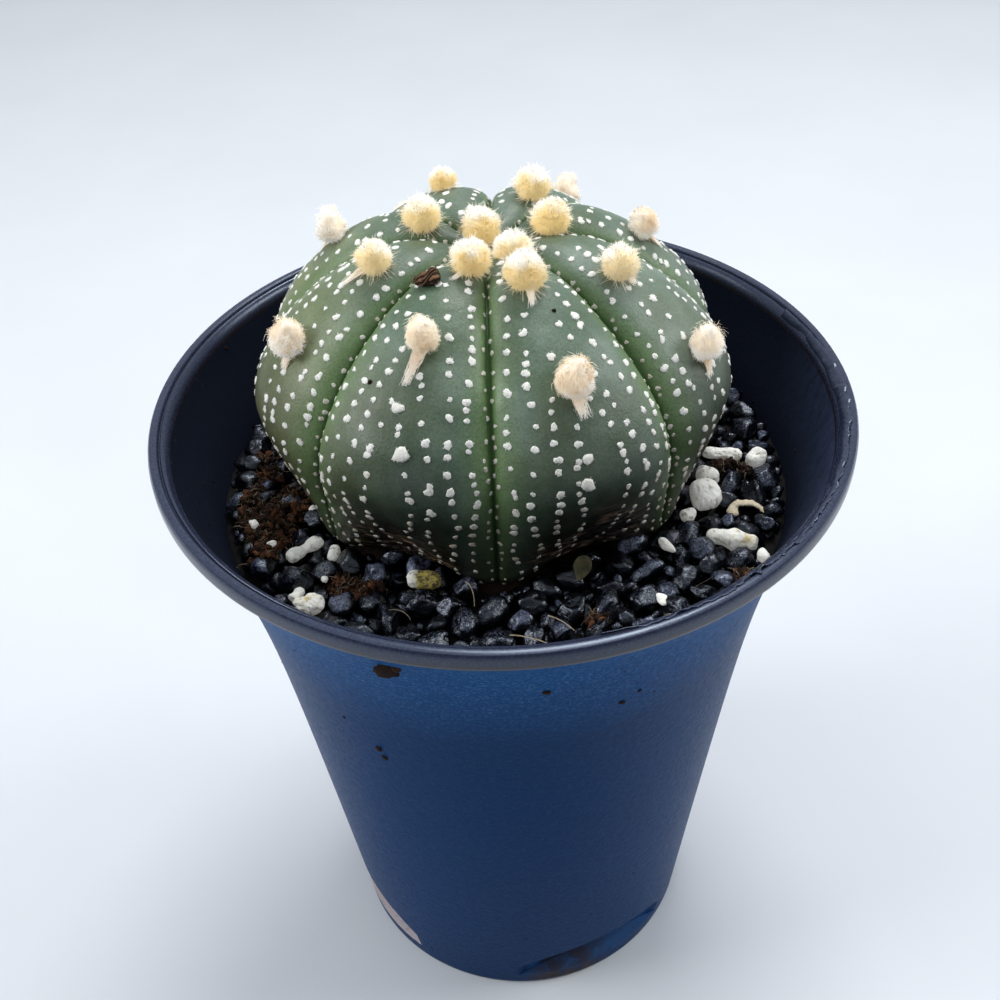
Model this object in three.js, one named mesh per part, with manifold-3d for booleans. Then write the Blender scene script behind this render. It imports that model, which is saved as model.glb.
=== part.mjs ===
// Potted star cactus: a low, spineless, eight ribbed cactus in a round plastic nursery pot,
// rooted in potting mix under a layer of dark grit. Millimetres, +Z up.
// The origin is the centre of the pot's underside. Azimuths count from -Y (front) towards +X.

import * as THREE from 'three';
import { mergeVertices } from 'three/addons/utils/BufferGeometryUtils.js';
import Module from 'manifold-3d';

const wasm = await Module();
wasm.setup();

// Pot
const RIM_RADIUS = 45;
const POT_HEIGHT = 100;
const FOOT_RADIUS = 27.7;
const WALL = 1.2;
const DRAFT = 0.104; // growth of the radius for each millimetre of height
const FLARE = 8.3; // extra radius that the wall gains as it turns out to the lip
const FLARE_REACH = 10.8; // height over which the flare dies away
const LIP_HEIGHT = 2.4;
const MOUTH_RADIUS = 42.4; // where the lip's inner slope meets the wall
const MOUTH_HEIGHT = 98.6;
const FLOOR_LIFT = 1.5; // the floor panel stands this much above the surface
const POT_SIDES = 40;
const WALL_HEIGHTS = [12, 68, 82, 90, 95]; // where the wall's outline bends, outside and inside

// Recesses round the foot, with a ledge under each
const RECESS_COUNT = 4;
const RECESS_FIRST = 24; // azimuth, degrees
const RECESS_WIDTH = 28;
const LEDGE_HEIGHT = 3;
const RECESS_TOP = 10.5;
const RECESS_PLANE = 24.9; // distance of the flat recessed face from the axis
const DRAIN_RADIUS = 3.5;
const DRAIN_CIRCLE = 17.5;

// Fill
const GAP = 0.3; // clearance between pieces that touch
const MIX_TOP = 84.3;
const GRIT_BED_TOP = 86.9;
const FILL_SIDES = 28;
const GRIT_PER_RIB = 7; // stones along each rib's width
const GRIT_RINGS = 4; // stones from the plant to the wall
const GRIT_RISE = 1.7; // height of the lowest stones over the joints between them
const GRIT_LOOSE = 0.35; // share of a stone's width that the joints wander

// Cactus: two meridians, down the crest of a rib and down a groove, with matching points
const PLANT_X = -0.9;
const PLANT_Y = 4.2;
const GROOVE_AZIMUTHS = [-1.3, 47.5, 95, 134, 176, 223, 262, 311, 358.7];
const RIBS = GROOVE_AZIMUTHS.length - 1;
const CREST = [
  [0, 118.7], [3.5, 119.7], [8, 120.9], [13.5, 120.3], [19.2, 117.4], [24.8, 112.9],
  [29, 108], [30.8, 103.2], [29.8, 98.6], [27.8, 94.8], [25.6, 91.4], [23.5, 88.5],
  [12, 85.5], [5, 81], [3.5, 70], [0, 56],
];
const GROOVE = [
  [0, 118.7], [3.2, 118.9], [7.7, 119.8], [13, 118.9], [18.4, 116], [23.6, 111.6],
  [27.4, 106.2], [29, 100.8], [28.8, 95.6], [28.3, 91], [27.4, 88], [21, 85.8],
  [12, 85.1], [5, 80], [3.2, 69], [0, 56],
];
const ROOT_HOLE = [[0, 55.2], [4.4, 68], [7, 80], [14, MIX_TOP + 1]];
const SKIN_ROWS = [
  0.8, 1.6, 2.2, 2.7, 3.2, 3.7, 4.2, 4.65, 5.1, 5.55, 6, 6.5, 7, 7.5, 8.05, 8.6, 9.15, 9.7,
  10.5, 11.3, 12.3, 13.3, 14.6,
];
const SKIN_COLUMNS = [0, 0.05, 0.15, 0.3, 0.5, 0.7, 0.85, 0.95];
const CLEFT_DEPTH = [[0, 0], [1, 0.6], [2.6, 1.1], [7, 1], [11, 0.5], [13, 0]];
const CLEFT_WIDTH = 0.1;

// Woolly flecks, as a share of the skin's cells that carry one, from groove to crest
const FLECK_SHARES = [0, 0.52, 0.36, 0.38];
const FLECK_HALF = 0.65;
const FLECK_HEIGHT = 0.42;
const FLECK_FIRST_ROW = 1.6;
const FLECK_LAST_ROW = 9.7;

// Wool tufts as [rib position, row, radius]; whole rib positions are grooves
const RIB_TUFTS = [
  [0.47, 4.79, 2.6], [1.38, 3.52, 2.5], [1.37, 5.5, 2.2], [2.2, 2.03, 2.6], [2.29, 4.12, 2.2],
  [3.33, 2.54, 2.5], [3.5, 5.2, 2.2], [4.53, 3.11, 1.9], [4.55, 6.2, 2.2], [5.64, 2.03, 2.6],
  [5.58, 4.26, 2.3], [6.62, 3.04, 2.4], [6.63, 5.05, 2.4], [7.56, 3.97, 2.2],
];
const CROWN_TUFTS = [[4.5, 0.63, 2.7], [7.7, 2.06, 2.5], [1.1, 1.41, 2.6], [0.45, 2.74, 2.7]];
const TAIL_FROM_ROW = 3.5; // tufts further down the ribs trail a tail of matted wool
const TUFT_SINK = 0.55; // share of a tuft's radius that its centre stands above the skin

// Pumice stones as [x, y, length, width, turn in degrees, knobs]
const PUMICE = [
  [-25.7, -14.9, 5.4, 2.5, 38, 3], [-21.9, -15.7, 2.3, 1.5, 80, 1],
  [-24, -25.2, 3.1, 2.5, 15, 1], [-26, -22.7, 2.4, 1.9, 60, 2],
  [-10.8, -21.7, 4.3, 2.5, -8, 2], [29.3, -0.2, 5.6, 2.6, -12, 2],
  [33.5, -2.3, 3.2, 2.8, 40, 1], [26.7, -5, 3.3, 2.5, -30, 1],
  [25.8, -9.5, 4, 3.8, 0, 1], [23.2, -12.2, 1.9, 1.6, 30, 1],
  [28, -17.4, 6, 2.8, -16, 3], [31, -11.3, 3.4, 1.4, 25, 2],
];
// Peat clumps as [x, y, length, width, turn in degrees, lumps]
const PEAT = [
  [-30.9, -9.9, 9.6, 6.4, -60, 8], [-20.2, -21.8, 4.4, 3.6, 0, 3],
];
// Spots that a stone may take in its cell, as [across, along, size]: the whole cell first
const STONE_SPOTS = [
  [0.5, 0.5, 0.68], [0.27, 0.27, 0.36], [0.73, 0.27, 0.36], [0.27, 0.73, 0.36],
  [0.73, 0.73, 0.36], [0.5, 0.5, 0.3],
];
const BED_REST = GRIT_BED_TOP + 0.12 + GAP; // height that loose pieces rest at
const COVER_MARGIN = 0.8; // clearance round a loose piece in which no stone rises

const COLOURS = {
  pot: 0x1a2233, mix: 0x2a1c14, grit: 0x1d1f24, peat: 0x4a2a1a, pumice: 0xd8d2c2,
  skin: 0x56705a, husk: 0x2c1a14,
};

// Small seeded generator, so every draw comes out the same
function seeded(seed) {
  let state = seed;
  return () => {
    state = (state + 0x6d2b79f5) | 0;
    let mixed = Math.imul(state ^ (state >>> 15), 1 | state);
    mixed = (mixed + Math.imul(mixed ^ (mixed >>> 7), 61 | mixed)) ^ mixed;
    return ((mixed ^ (mixed >>> 14)) >>> 0) / 4294967296;
  };
}

// Geometry to solid and back
function toSolid(geometry) {
  const bare = geometry.clone();
  bare.deleteAttribute('normal');
  bare.deleteAttribute('uv');
  const merged = mergeVertices(bare, 1e-5);
  return new wasm.Manifold(new wasm.Mesh({
    numProp: 3,
    vertProperties: new Float32Array(merged.attributes.position.array),
    triVerts: new Uint32Array(merged.index.array),
  }));
}

function toGeometry(solid) {
  const mesh = solid.getMesh();
  const geometry = new THREE.BufferGeometry();
  geometry.setAttribute('position', new THREE.BufferAttribute(mesh.vertProperties, 3));
  geometry.setIndex(new THREE.BufferAttribute(mesh.triVerts, 1));
  geometry.computeVertexNormals();
  return geometry;
}

function largestPiece(solid) {
  const pieces = solid.decompose();
  return pieces.reduce((best, piece) => (piece.volume() > best.volume() ? piece : best));
}

function joinAll(solids) {
  return solids.reduce((whole, solid) => whole.add(solid));
}

// A solid of revolution about +Z from [radius, height] points that start and end on the axis
function turned(profile, sides) {
  const points = profile.map(([radius, height]) => new THREE.Vector2(radius, height));
  return toSolid(new THREE.LatheGeometry(points, sides).rotateX(Math.PI / 2));
}

// A rough ball: an icosahedron whose corners are pushed in or out by a seeded draw
function roughBall(detail, roughness, random) {
  const ball = mergeVertices(bareIcosahedron(detail), 1e-4);
  const corner = new THREE.Vector3();
  for (let i = 0; i < ball.attributes.position.count; i += 1) {
    corner.fromBufferAttribute(ball.attributes.position, i);
    corner.multiplyScalar(1 + roughness * (random() - 0.5));
    ball.attributes.position.setXYZ(i, corner.x, corner.y, corner.z);
  }
  return ball;
}

function bareIcosahedron(detail) {
  const ball = new THREE.IcosahedronGeometry(1, detail);
  ball.deleteAttribute('normal');
  ball.deleteAttribute('uv');
  return ball;
}

function placed(geometry, scale, rotation, position) {
  const matrix = new THREE.Matrix4().compose(
    position, new THREE.Quaternion().setFromEuler(rotation), scale,
  );
  return geometry.clone().applyMatrix4(matrix);
}

// Pot
function outerRadius(z) {
  return FOOT_RADIUS + DRAFT * z + FLARE * Math.exp((z - POT_HEIGHT) / FLARE_REACH);
}

function innerRadius(z) {
  return Math.min(outerRadius(z) - WALL, MOUTH_RADIUS - 0.12 * (MOUTH_HEIGHT - z));
}

function potOutline() {
  const lipFoot = POT_HEIGHT - LIP_HEIGHT;
  return [
    [0, 0], [9, 0], [10.5, FLOOR_LIFT], [23.2, FLOOR_LIFT], [24.4, 0], [FOOT_RADIUS, 0],
    ...[...WALL_HEIGHTS, lipFoot].map((z) => [outerRadius(z), z]),
    [RIM_RADIUS, lipFoot], [RIM_RADIUS, POT_HEIGHT - 0.5],
    [RIM_RADIUS - 0.5, POT_HEIGHT], [RIM_RADIUS - 1.2, POT_HEIGHT],
  ];
}

function potSolid() {
  const top = POT_HEIGHT;
  const floorTop = FLOOR_LIFT + WALL;
  const innerHeights = [...WALL_HEIGHTS].reverse().concat(floorTop);
  const shell = turned([
    ...potOutline(),
    [RIM_RADIUS - 1.45, top - 0.5], [RIM_RADIUS - 1.7, top - 0.3],
    [MOUTH_RADIUS, MOUTH_HEIGHT],
    ...innerHeights.map((z) => [innerRadius(z), z]), [0, floorTop],
  ], POT_SIDES);
  const outside = turned([...potOutline(), [0, top]], POT_SIDES);
  const backs = recesses(WALL).map((back) => back.intersect(outside));
  return largestPiece(joinAll([shell, ...backs])
    .subtract(joinAll(recesses(0)))
    .subtract(joinAll([...drainHoles(), ...recessSlots()])));
}

// One block for each recess, grown by a margin on its back, sides and top
function recesses(margin) {
  const half = RECESS_WIDTH / 2 + margin;
  const floor = margin > 0 ? 0.5 : LEDGE_HEIGHT;
  const rise = RECESS_TOP + margin - LEDGE_HEIGHT;
  const outline = new THREE.Shape();
  outline.moveTo(-half, floor);
  outline.lineTo(half, floor);
  outline.lineTo(half, LEDGE_HEIGHT);
  const steps = 6;
  for (let i = 1; i < steps; i += 1) {
    const angle = (Math.PI * i) / steps;
    outline.lineTo(half * Math.cos(angle), LEDGE_HEIGHT + rise * Math.sin(angle));
  }
  outline.lineTo(-half, LEDGE_HEIGHT);
  outline.closePath();
  const depth = 12;
  return ringOf(RECESS_FIRST, () => new THREE.ExtrudeGeometry(outline, {
    depth, bevelEnabled: false,
  }).translate(0, 0, RECESS_PLANE - margin));
}

// Copies a shape drawn facing +Z with Y up to each recess, facing outwards
function ringOf(firstAzimuth, makeShape) {
  return Array.from({ length: RECESS_COUNT }, (_, i) => {
    const azimuth = THREE.MathUtils.degToRad(firstAzimuth + (i * 360) / RECESS_COUNT);
    return toSolid(makeShape().rotateX(Math.PI / 2).rotateZ(azimuth));
  });
}

function recessSlots() {
  const [slotWidth, slotHeight, slotDepth] = [8, 2.2, 6];
  return ringOf(RECESS_FIRST, () => new THREE.BoxGeometry(slotWidth, slotHeight, slotDepth)
    .translate(0, LEDGE_HEIGHT + slotHeight / 2 + 0.4, RECESS_PLANE - 0.5));
}

function drainHoles() {
  const height = 8;
  return ringOf(RECESS_FIRST + 45, () => new THREE.CylinderGeometry(
    DRAIN_RADIUS, DRAIN_RADIUS, height, 10,
  ).translate(0, 0, DRAIN_CIRCLE));
}

// The space inside the pot, with clearance to its wall
function insidePot(heights) {
  const wall = heights.map((z) => [innerRadius(z) - GAP - 0.1, z]);
  return turned([[0, heights[0]], ...wall, [0, heights[heights.length - 1]]], FILL_SIDES);
}

function pottingMix() {
  const bottom = FLOOR_LIFT + WALL + GAP;
  const rootHole = turned([
    ...ROOT_HOLE.map(([radius, z]) => [radius && radius + GAP, z]), [0, MIX_TOP + 1],
  ], 16).translate(PLANT_X, PLANT_Y, 0);
  return largestPiece(insidePot([bottom, ...WALL_HEIGHTS.filter((z) => z < MIX_TOP), MIX_TOP])
    .subtract(joinAll(recesses(WALL + GAP)))
    .subtract(rootHole));
}

// Cactus
const crestLine = new THREE.SplineCurve(CREST.map(([r, z]) => new THREE.Vector2(r, z)));
const grooveLine = new THREE.SplineCurve(GROOVE.map(([r, z]) => new THREE.Vector2(r, z)));
const LAST_ROW = CREST.length - 1;

function stepwise(table, at) {
  const next = table.findIndex(([key]) => key > at);
  if (next < 0) {
    return table[table.length - 1][1];
  }
  const [[fromKey, from], [toKey, to]] = [table[next - 1], table[next]];
  return from + ((to - from) * (at - fromKey)) / (toKey - fromKey);
}

// A point of the skin: rib position 0 to 8, with whole numbers in the grooves, and row
function skinPoint(rib, row) {
  const wrapped = ((rib % RIBS) + RIBS) % RIBS;
  const index = Math.floor(wrapped);
  const across = wrapped - index;
  const azimuth = THREE.MathUtils.degToRad(
    THREE.MathUtils.lerp(GROOVE_AZIMUTHS[index], GROOVE_AZIMUTHS[index + 1], across),
  );
  const towardsCrest = 1 - Math.abs(2 * across - 1);
  const along = Math.min(row / LAST_ROW, 1);
  const crest = crestLine.getPoint(along);
  const groove = grooveLine.getPoint(along);
  const low = THREE.MathUtils.clamp((row - 7) / 4, 0, 1);
  const sharp = (1 - towardsCrest) ** 2;
  const smooth = 1 - towardsCrest * towardsCrest * (3 - 2 * towardsCrest);
  const point = crest.lerp(groove, THREE.MathUtils.lerp(sharp, smooth, low));
  const slope = crestLine.getTangent(along);
  const cleft = stepwise(CLEFT_DEPTH, row) * Math.exp(-towardsCrest / CLEFT_WIDTH);
  const radius = Math.max(point.x + slope.y * cleft, 0);
  return new THREE.Vector3(
    PLANT_X + radius * Math.sin(azimuth),
    PLANT_Y - radius * Math.cos(azimuth),
    point.y - slope.x * cleft,
  );
}

function skinNormal(rib, row) {
  const step = 0.01;
  const across = skinPoint(rib + step, row).sub(skinPoint(rib - step, row));
  const down = skinPoint(rib, row + step).sub(skinPoint(rib, row - step));
  return down.cross(across).normalize();
}

// The skin as one closed mesh. A cell that carries a fleck gets a small pyramid.
function skinMesh({ rows, columns, lift, flecked }) {
  const random = seeded(11);
  const corners = [];
  const faces = [];
  const around = RIBS * columns.length;
  const addCorner = (point) => corners.push(point.x, point.y, point.z) / 3 - 1;
  const ribAt = (i) => Math.floor(i / columns.length) + columns[i % columns.length];
  const lifted = (rib, row) => skinPoint(rib, row).addScaledVector(skinNormal(rib, row), lift);

  const top = addCorner(skinPoint(0, 0).add(new THREE.Vector3(0, 0, lift)));
  const grid = rows.map((row) => Array.from({ length: around }, (_, i) => (
    addCorner(lifted(ribAt(i), row)))));
  const tip = addCorner(skinPoint(0, LAST_ROW).add(new THREE.Vector3(0, 0, -lift)));

  for (let i = 0; i < around; i += 1) {
    const next = (i + 1) % around;
    faces.push(top, grid[0][i], grid[0][next]);
    faces.push(tip, grid[rows.length - 1][next], grid[rows.length - 1][i]);
    for (let j = 0; j + 1 < rows.length; j += 1) {
      const cell = [grid[j][i], grid[j + 1][i], grid[j + 1][next], grid[j][next]];
      const ribTo = next === 0 ? RIBS : ribAt(next);
      const span = { rib: [ribAt(i), ribTo], row: [rows[j], rows[j + 1]] };
      const place = flecked ? fleckPlace(span, random) : null;
      if (place) {
        addFleck(cell, place, addCorner, faces);
      } else {
        faces.push(cell[0], cell[1], cell[2], cell[0], cell[2], cell[3]);
      }
    }
  }
  const geometry = new THREE.BufferGeometry();
  geometry.setAttribute('position', new THREE.Float32BufferAttribute(corners, 3));
  geometry.setIndex(faces);
  return geometry;
}

// Draws whether a cell carries a fleck, and where in the cell it sits
function fleckPlace(span, random) {
  const [draw, shiftAcross, shiftDown] = [random(), random() - 0.5, random() - 0.5];
  const [ribFrom, ribTo] = span.rib;
  const [rowFrom, rowTo] = span.row;
  const across = ribFrom - Math.floor(ribFrom);
  const column = SKIN_COLUMNS.findIndex((edge) => Math.abs(edge - across) < 1e-6);
  const fromGroove = Math.min(column, SKIN_COLUMNS.length - 1 - column);
  if (rowFrom < FLECK_FIRST_ROW || rowTo > FLECK_LAST_ROW) {
    return null;
  }
  if (draw > FLECK_SHARES[fromGroove]) {
    return null;
  }
  return {
    rib: (ribFrom + ribTo) / 2 + 0.16 * (ribTo - ribFrom) * shiftAcross,
    row: (rowFrom + rowTo) / 2 + 0.16 * (rowTo - rowFrom) * shiftDown,
    halfRib: ribTo - ribFrom,
    halfRow: rowTo - rowFrom,
  };
}

// Fills a cell with a four sided pyramid that stands in a flat margin
function addFleck(cell, place, addCorner, faces) {
  const width = skinPoint(place.rib - 0.02, place.row).distanceTo(
    skinPoint(place.rib + 0.02, place.row),
  ) / 0.04;
  const height = skinPoint(place.rib, place.row - 0.05).distanceTo(
    skinPoint(place.rib, place.row + 0.05),
  ) / 0.1;
  const reachRib = Math.min(FLECK_HALF / width, place.halfRib * 0.36);
  const reachRow = Math.min(FLECK_HALF / height, place.halfRow * 0.36);
  const base = [[-1, -1], [-1, 1], [1, 1], [1, -1]].map(([u, v]) => addCorner(
    skinPoint(place.rib + u * reachRib, place.row + v * reachRow),
  ));
  const peak = addCorner(skinPoint(place.rib, place.row).addScaledVector(
    skinNormal(place.rib, place.row), FLECK_HEIGHT,
  ));
  for (let side = 0; side < 4; side += 1) {
    const after = (side + 1) % 4;
    faces.push(cell[side], cell[after], base[after], cell[side], base[after], base[side]);
    faces.push(base[side], base[after], peak);
  }
}

function tuftSolid([rib, row, radius], random) {
  const normal = skinNormal(rib, row);
  const centre = skinPoint(rib, row).addScaledVector(normal, radius * TUFT_SINK);
  const flatten = new THREE.Quaternion().setFromUnitVectors(new THREE.Vector3(0, 0, 1), normal);
  const ball = roughBall(1, 0.3, random).applyMatrix4(new THREE.Matrix4().compose(
    centre, flatten, new THREE.Vector3(radius, radius, radius * 0.92),
  ));
  return toSolid(ball);
}

// Matted wool that trails from a tuft down the crest of its rib
function tailSolid([rib, row, radius], random) {
  const tailRow = row + 0.55;
  const along = skinPoint(rib, tailRow + 0.3).sub(skinPoint(rib, tailRow - 0.3)).normalize();
  const turn = new THREE.Quaternion().setFromUnitVectors(new THREE.Vector3(1, 0, 0), along);
  const tail = roughBall(0, 0.3, random).applyMatrix4(new THREE.Matrix4().compose(
    skinPoint(rib, tailRow), turn, new THREE.Vector3(radius * 0.95, radius * 0.3, radius * 0.3),
  ));
  return toSolid(tail);
}

function cactusSolid() {
  const random = seeded(23);
  const skin = toSolid(skinMesh({
    rows: SKIN_ROWS, columns: SKIN_COLUMNS, lift: 0, flecked: true,
  }));
  const wool = [];
  for (const tuft of [...RIB_TUFTS, ...CROWN_TUFTS]) {
    wool.push(tuftSolid(tuft, random));
    if (tuft[1] > TAIL_FROM_ROW) {
      wool.push(tailSolid(tuft, random));
    }
  }
  return largestPiece(skin.add(joinAll(wool)));
}

// The skin grown outwards, to cut what lies on it near the crown
function crownRoom() {
  const rows = SKIN_ROWS.filter((row, i) => row < 5 || i % 5 === 0);
  return toSolid(skinMesh({ rows, columns: SKIN_COLUMNS, lift: GAP, flecked: false }));
}

// Loose stones that lie on the grit, each of one or more rough knobs in a row
function stoneSolid([x, y, length, width, turn, knobs], seed) {
  const random = seeded(seed);
  const height = width * 0.8;
  const angle = THREE.MathUtils.degToRad(turn);
  const middle = new THREE.Vector3(x, y, BED_REST + height * 0.5);
  const pieces = [];
  for (let i = 0; i < knobs; i += 1) {
    const offset = knobs === 1 ? 0 : (i / (knobs - 1) - 0.5) * (length - width);
    const waist = knobs === 3 && i === 1;
    const pinch = waist ? 0.72 : 1;
    const reach = knobs === 1 ? length / 2 : Math.max(width * 0.56, (length - width) * 0.62);
    const detail = waist || width < 2.3 ? 0 : 1;
    pieces.push(toSolid(placed(
      roughBall(detail, 0.2, random),
      new THREE.Vector3(reach * pinch, (width / 2) * pinch, (height / 2) * pinch),
      new THREE.Euler(0, 0, angle),
      middle.clone().add(new THREE.Vector3(
        offset * Math.cos(angle), offset * Math.sin(angle), 0,
      )),
    )));
  }
  return joinAll(pieces);
}

// A clump of fibrous peat: small rough lumps heaped in an oval
function peatSolid([x, y, length, width, turn, lumps], seed) {
  const random = seeded(seed);
  const pieces = [];
  const lumpRadius = 1.6;
  for (let i = 0; i < lumps; i += 1) {
    const angle = i * 2.4;
    const reach = Math.sqrt((i + 0.3) / lumps);
    const size = lumpRadius * (0.85 + 0.3 * random());
    const lump = new THREE.Vector3(
      (length / 2 - lumpRadius) * reach * Math.cos(angle),
      (width / 2 - lumpRadius) * reach * Math.sin(angle),
      BED_REST + size * 0.72 + 0.8 * (1 - reach),
    ).applyAxisAngle(new THREE.Vector3(0, 0, 1), THREE.MathUtils.degToRad(turn));
    pieces.push(toSolid(placed(
      roughBall(0, 0.2, random),
      new THREE.Vector3(size * 1.15, size, size * 0.8),
      new THREE.Euler(0, 0, random() * 6),
      lump.add(new THREE.Vector3(x, y, 0)),
    )));
  }
  return joinAll(pieces);
}

// The outline that the plant needs: its widest part between the bed and the stones' tops
function plantOutline(rib) {
  const [fromRow, toRow, steps] = [8.5, 12, 35];
  const stoneTop = GRIT_BED_TOP + 2.6;
  const axis = new THREE.Vector3(PLANT_X, PLANT_Y, 0);
  let widest = new THREE.Vector3();
  for (let i = 0; i <= steps; i += 1) {
    const skin = skinPoint(rib, fromRow + ((toRow - fromRow) * i) / steps);
    const offset = skin.clone().sub(axis).setZ(0);
    if (skin.z < stoneTop && offset.length() > widest.length()) {
      widest = offset;
    }
  }
  return widest.setLength(widest.length() + FLECK_HEIGHT + GAP).add(axis.setZ(0));
}

// Where the line from the plant's axis through a point meets a circle round the pot's axis
function onWall(point, radius) {
  const from = new THREE.Vector2(PLANT_X, PLANT_Y);
  const way = new THREE.Vector2(point.x, point.y).sub(from).normalize();
  const along = -from.dot(way) + Math.sqrt(radius ** 2 - from.lengthSq() + from.dot(way) ** 2);
  return new THREE.Vector3(from.x + way.x * along, from.y + way.y * along, 0);
}

// The layer of grit: a ring shaped bed round the plant, packed with blunt stones, one to each
// cell of a grid that runs from the plant's outline to the wall. The corners of the cells lie
// low, in the joints between the stones. A cell under a loose stone or clump stays flat.
function topGrit(covers) {
  const random = seeded(47);
  const around = RIBS * GRIT_PER_RIB;
  const bottom = MIX_TOP + GAP;
  const clear = GAP + 0.1;
  const corners = [];
  const faces = [];
  const addCorner = (point) => corners.push(point.x, point.y, point.z) / 3 - 1;
  const inner = Array.from({ length: around }, (_, i) => plantOutline(i / GRIT_PER_RIB));
  const outer = inner.map((point) => onWall(point, innerRadius(GRIT_BED_TOP) - clear));

  const joints = Array.from({ length: GRIT_RINGS + 1 }, (_, ring) => inner.map((_point, i) => {
    const edge = ring === 0 || ring === GRIT_RINGS;
    const loose = edge ? 0 : GRIT_LOOSE;
    const share = (ring + loose * (random() - 0.5)) / GRIT_RINGS;
    const twist = edge ? 0 : (ring % 2) * 0.4 + loose * (random() - 0.5);
    const beside = (i + (twist > 0 ? 1 : around - 1)) % around;
    const from = inner[i].clone().lerp(inner[beside], Math.abs(twist));
    const to = outer[i].clone().lerp(outer[beside], Math.abs(twist));
    return from.lerp(to, share).setZ(GRIT_BED_TOP + loose * (random() - 0.5));
  }));
  const grid = joints.map((ring) => ring.map(addCorner));
  const innerFoot = inner.map((point) => addCorner(point.clone().setZ(bottom)));
  const outerFoot = outer.map((point) => (
    addCorner(onWall(point, innerRadius(bottom) - clear).setZ(bottom))));

  for (let i = 0; i < around; i += 1) {
    const next = (i + 1) % around;
    const walls = [
      [innerFoot[i], grid[0][i], grid[0][next], innerFoot[next]],
      [grid[GRIT_RINGS][i], outerFoot[i], outerFoot[next], grid[GRIT_RINGS][next]],
      [outerFoot[i], innerFoot[i], innerFoot[next], outerFoot[next]],
    ];
    walls.forEach(([a, b, c, d]) => faces.push(a, b, c, a, c, d));
    for (let j = 0; j < GRIT_RINGS; j += 1) {
      const cell = [grid[j][i], grid[j + 1][i], grid[j + 1][next], grid[j][next]];
      const points = [joints[j][i], joints[j + 1][i], joints[j + 1][next], joints[j][next]];
      const spot = STONE_SPOTS.find((place) => (
        !covers.some((cover) => wouldTouch(points, place, cover))));
      if (spot) {
        addStone(cell, stoneCorners(points, spot), random, addCorner, faces);
      } else {
        faces.push(cell[0], cell[1], cell[2], cell[0], cell[2], cell[3]);
      }
    }
  }
  const geometry = new THREE.BufferGeometry();
  geometry.setAttribute('position', new THREE.Float32BufferAttribute(corners, 3));
  geometry.setIndex(faces);
  return toSolid(geometry);
}

// The four upper corners of a stone in a cell, for a spot [u, v, size] in shares of the cell
function stoneCorners(points, [u, v, size]) {
  return [[-1, -1], [-1, 1], [1, 1], [1, -1]].map(([side, end]) => {
    const across = u + (side * size) / 2;
    const near = points[0].clone().lerp(points[3], across);
    return near.lerp(points[1].clone().lerp(points[2], across), v + (end * size) / 2);
  });
}

// Whether a stone at a spot in a cell would touch an oval loose piece [x, y, length, width, turn]
function wouldTouch(points, spot, [x, y, length, width, turn]) {
  const angle = THREE.MathUtils.degToRad(turn);
  const top = stoneCorners(points, spot);
  const tests = top.flatMap((corner, i) => {
    const after = top[(i + 1) % 4];
    return [corner, corner.clone().lerp(after, 0.5), corner.clone().lerp(points[i], 0.45)];
  });
  tests.push(top[0].clone().lerp(top[2], 0.5));
  return tests.some((test) => {
    const [dx, dy] = [test.x - x, test.y - y];
    const along = dx * Math.cos(angle) + dy * Math.sin(angle);
    const across = dy * Math.cos(angle) - dx * Math.sin(angle);
    return Math.hypot(along / (length / 2 + COVER_MARGIN), across / (width / 2 + COVER_MARGIN)) < 1;
  });
}

// Raises a blunt four sided stone with a low peak in a cell of the bed
function addStone(cell, top, random, addCorner, faces) {
  const middle = top[0].clone().lerp(top[2], 0.5);
  const rise = GRIT_RISE + 1.1 * random();
  const shoulders = top.map((corner) => {
    const shoulder = middle.clone().lerp(corner, 1 + 0.2 * (random() - 0.5));
    shoulder.z = GRIT_BED_TOP + rise * (0.72 + 0.3 * random());
    return addCorner(shoulder);
  });
  const peak = addCorner(new THREE.Vector3(middle.x, middle.y, GRIT_BED_TOP + rise * 1.18));
  for (let side = 0; side < 4; side += 1) {
    const after = (side + 1) % 4;
    faces.push(cell[side], cell[after], shoulders[after]);
    faces.push(cell[side], shoulders[after], shoulders[side]);
    faces.push(shoulders[side], shoulders[after], peak);
  }
}

// The dried remains of a flower, lying in the groove beside the crown
function driedFlower() {
  const random = seeded(59);
  const [rib, row] = [7.3, 2.75];
  const halfHeight = 0.55;
  const normal = skinNormal(rib, row);
  const husk = roughBall(1, 0.35, random).applyMatrix4(new THREE.Matrix4().compose(
    skinPoint(rib, row).addScaledVector(normal, halfHeight + 0.3),
    new THREE.Quaternion().setFromUnitVectors(new THREE.Vector3(0, 0, 1), normal),
    new THREE.Vector3(1.35, 0.9, halfHeight),
  ));
  return largestPiece(toSolid(husk).subtract(crownRoom()));
}

function piece(name, geometry, color, roughness) {
  const material = new THREE.MeshStandardMaterial({ color, roughness, metalness: 0 });
  const mesh = new THREE.Mesh(geometry, material);
  mesh.name = name;
  return mesh;
}

function numbered(stem, index) {
  return `${stem}_${String(index + 1).padStart(2, '0')}`;
}

const plant = new THREE.Group();
plant.add(piece('cactus', toGeometry(cactusSolid()), COLOURS.skin, 0.6));
plant.add(piece('dried_flower', toGeometry(driedFlower()), COLOURS.husk, 0.9));

const fill = new THREE.Group();
PUMICE.forEach((stone, i) => {
  fill.add(piece(numbered('pumice', i), toGeometry(stoneSolid(stone, 100 + i)),
    COLOURS.pumice, 0.95));
});
PEAT.forEach((clump, i) => {
  fill.add(piece(numbered('peat_clump', i), toGeometry(peatSolid(clump, 200 + i)),
    COLOURS.peat, 1));
});
fill.add(piece('top_grit', toGeometry(topGrit([...PUMICE, ...PEAT])), COLOURS.grit, 0.45));
fill.add(piece('potting_mix', toGeometry(pottingMix()), COLOURS.mix, 1));

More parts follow.
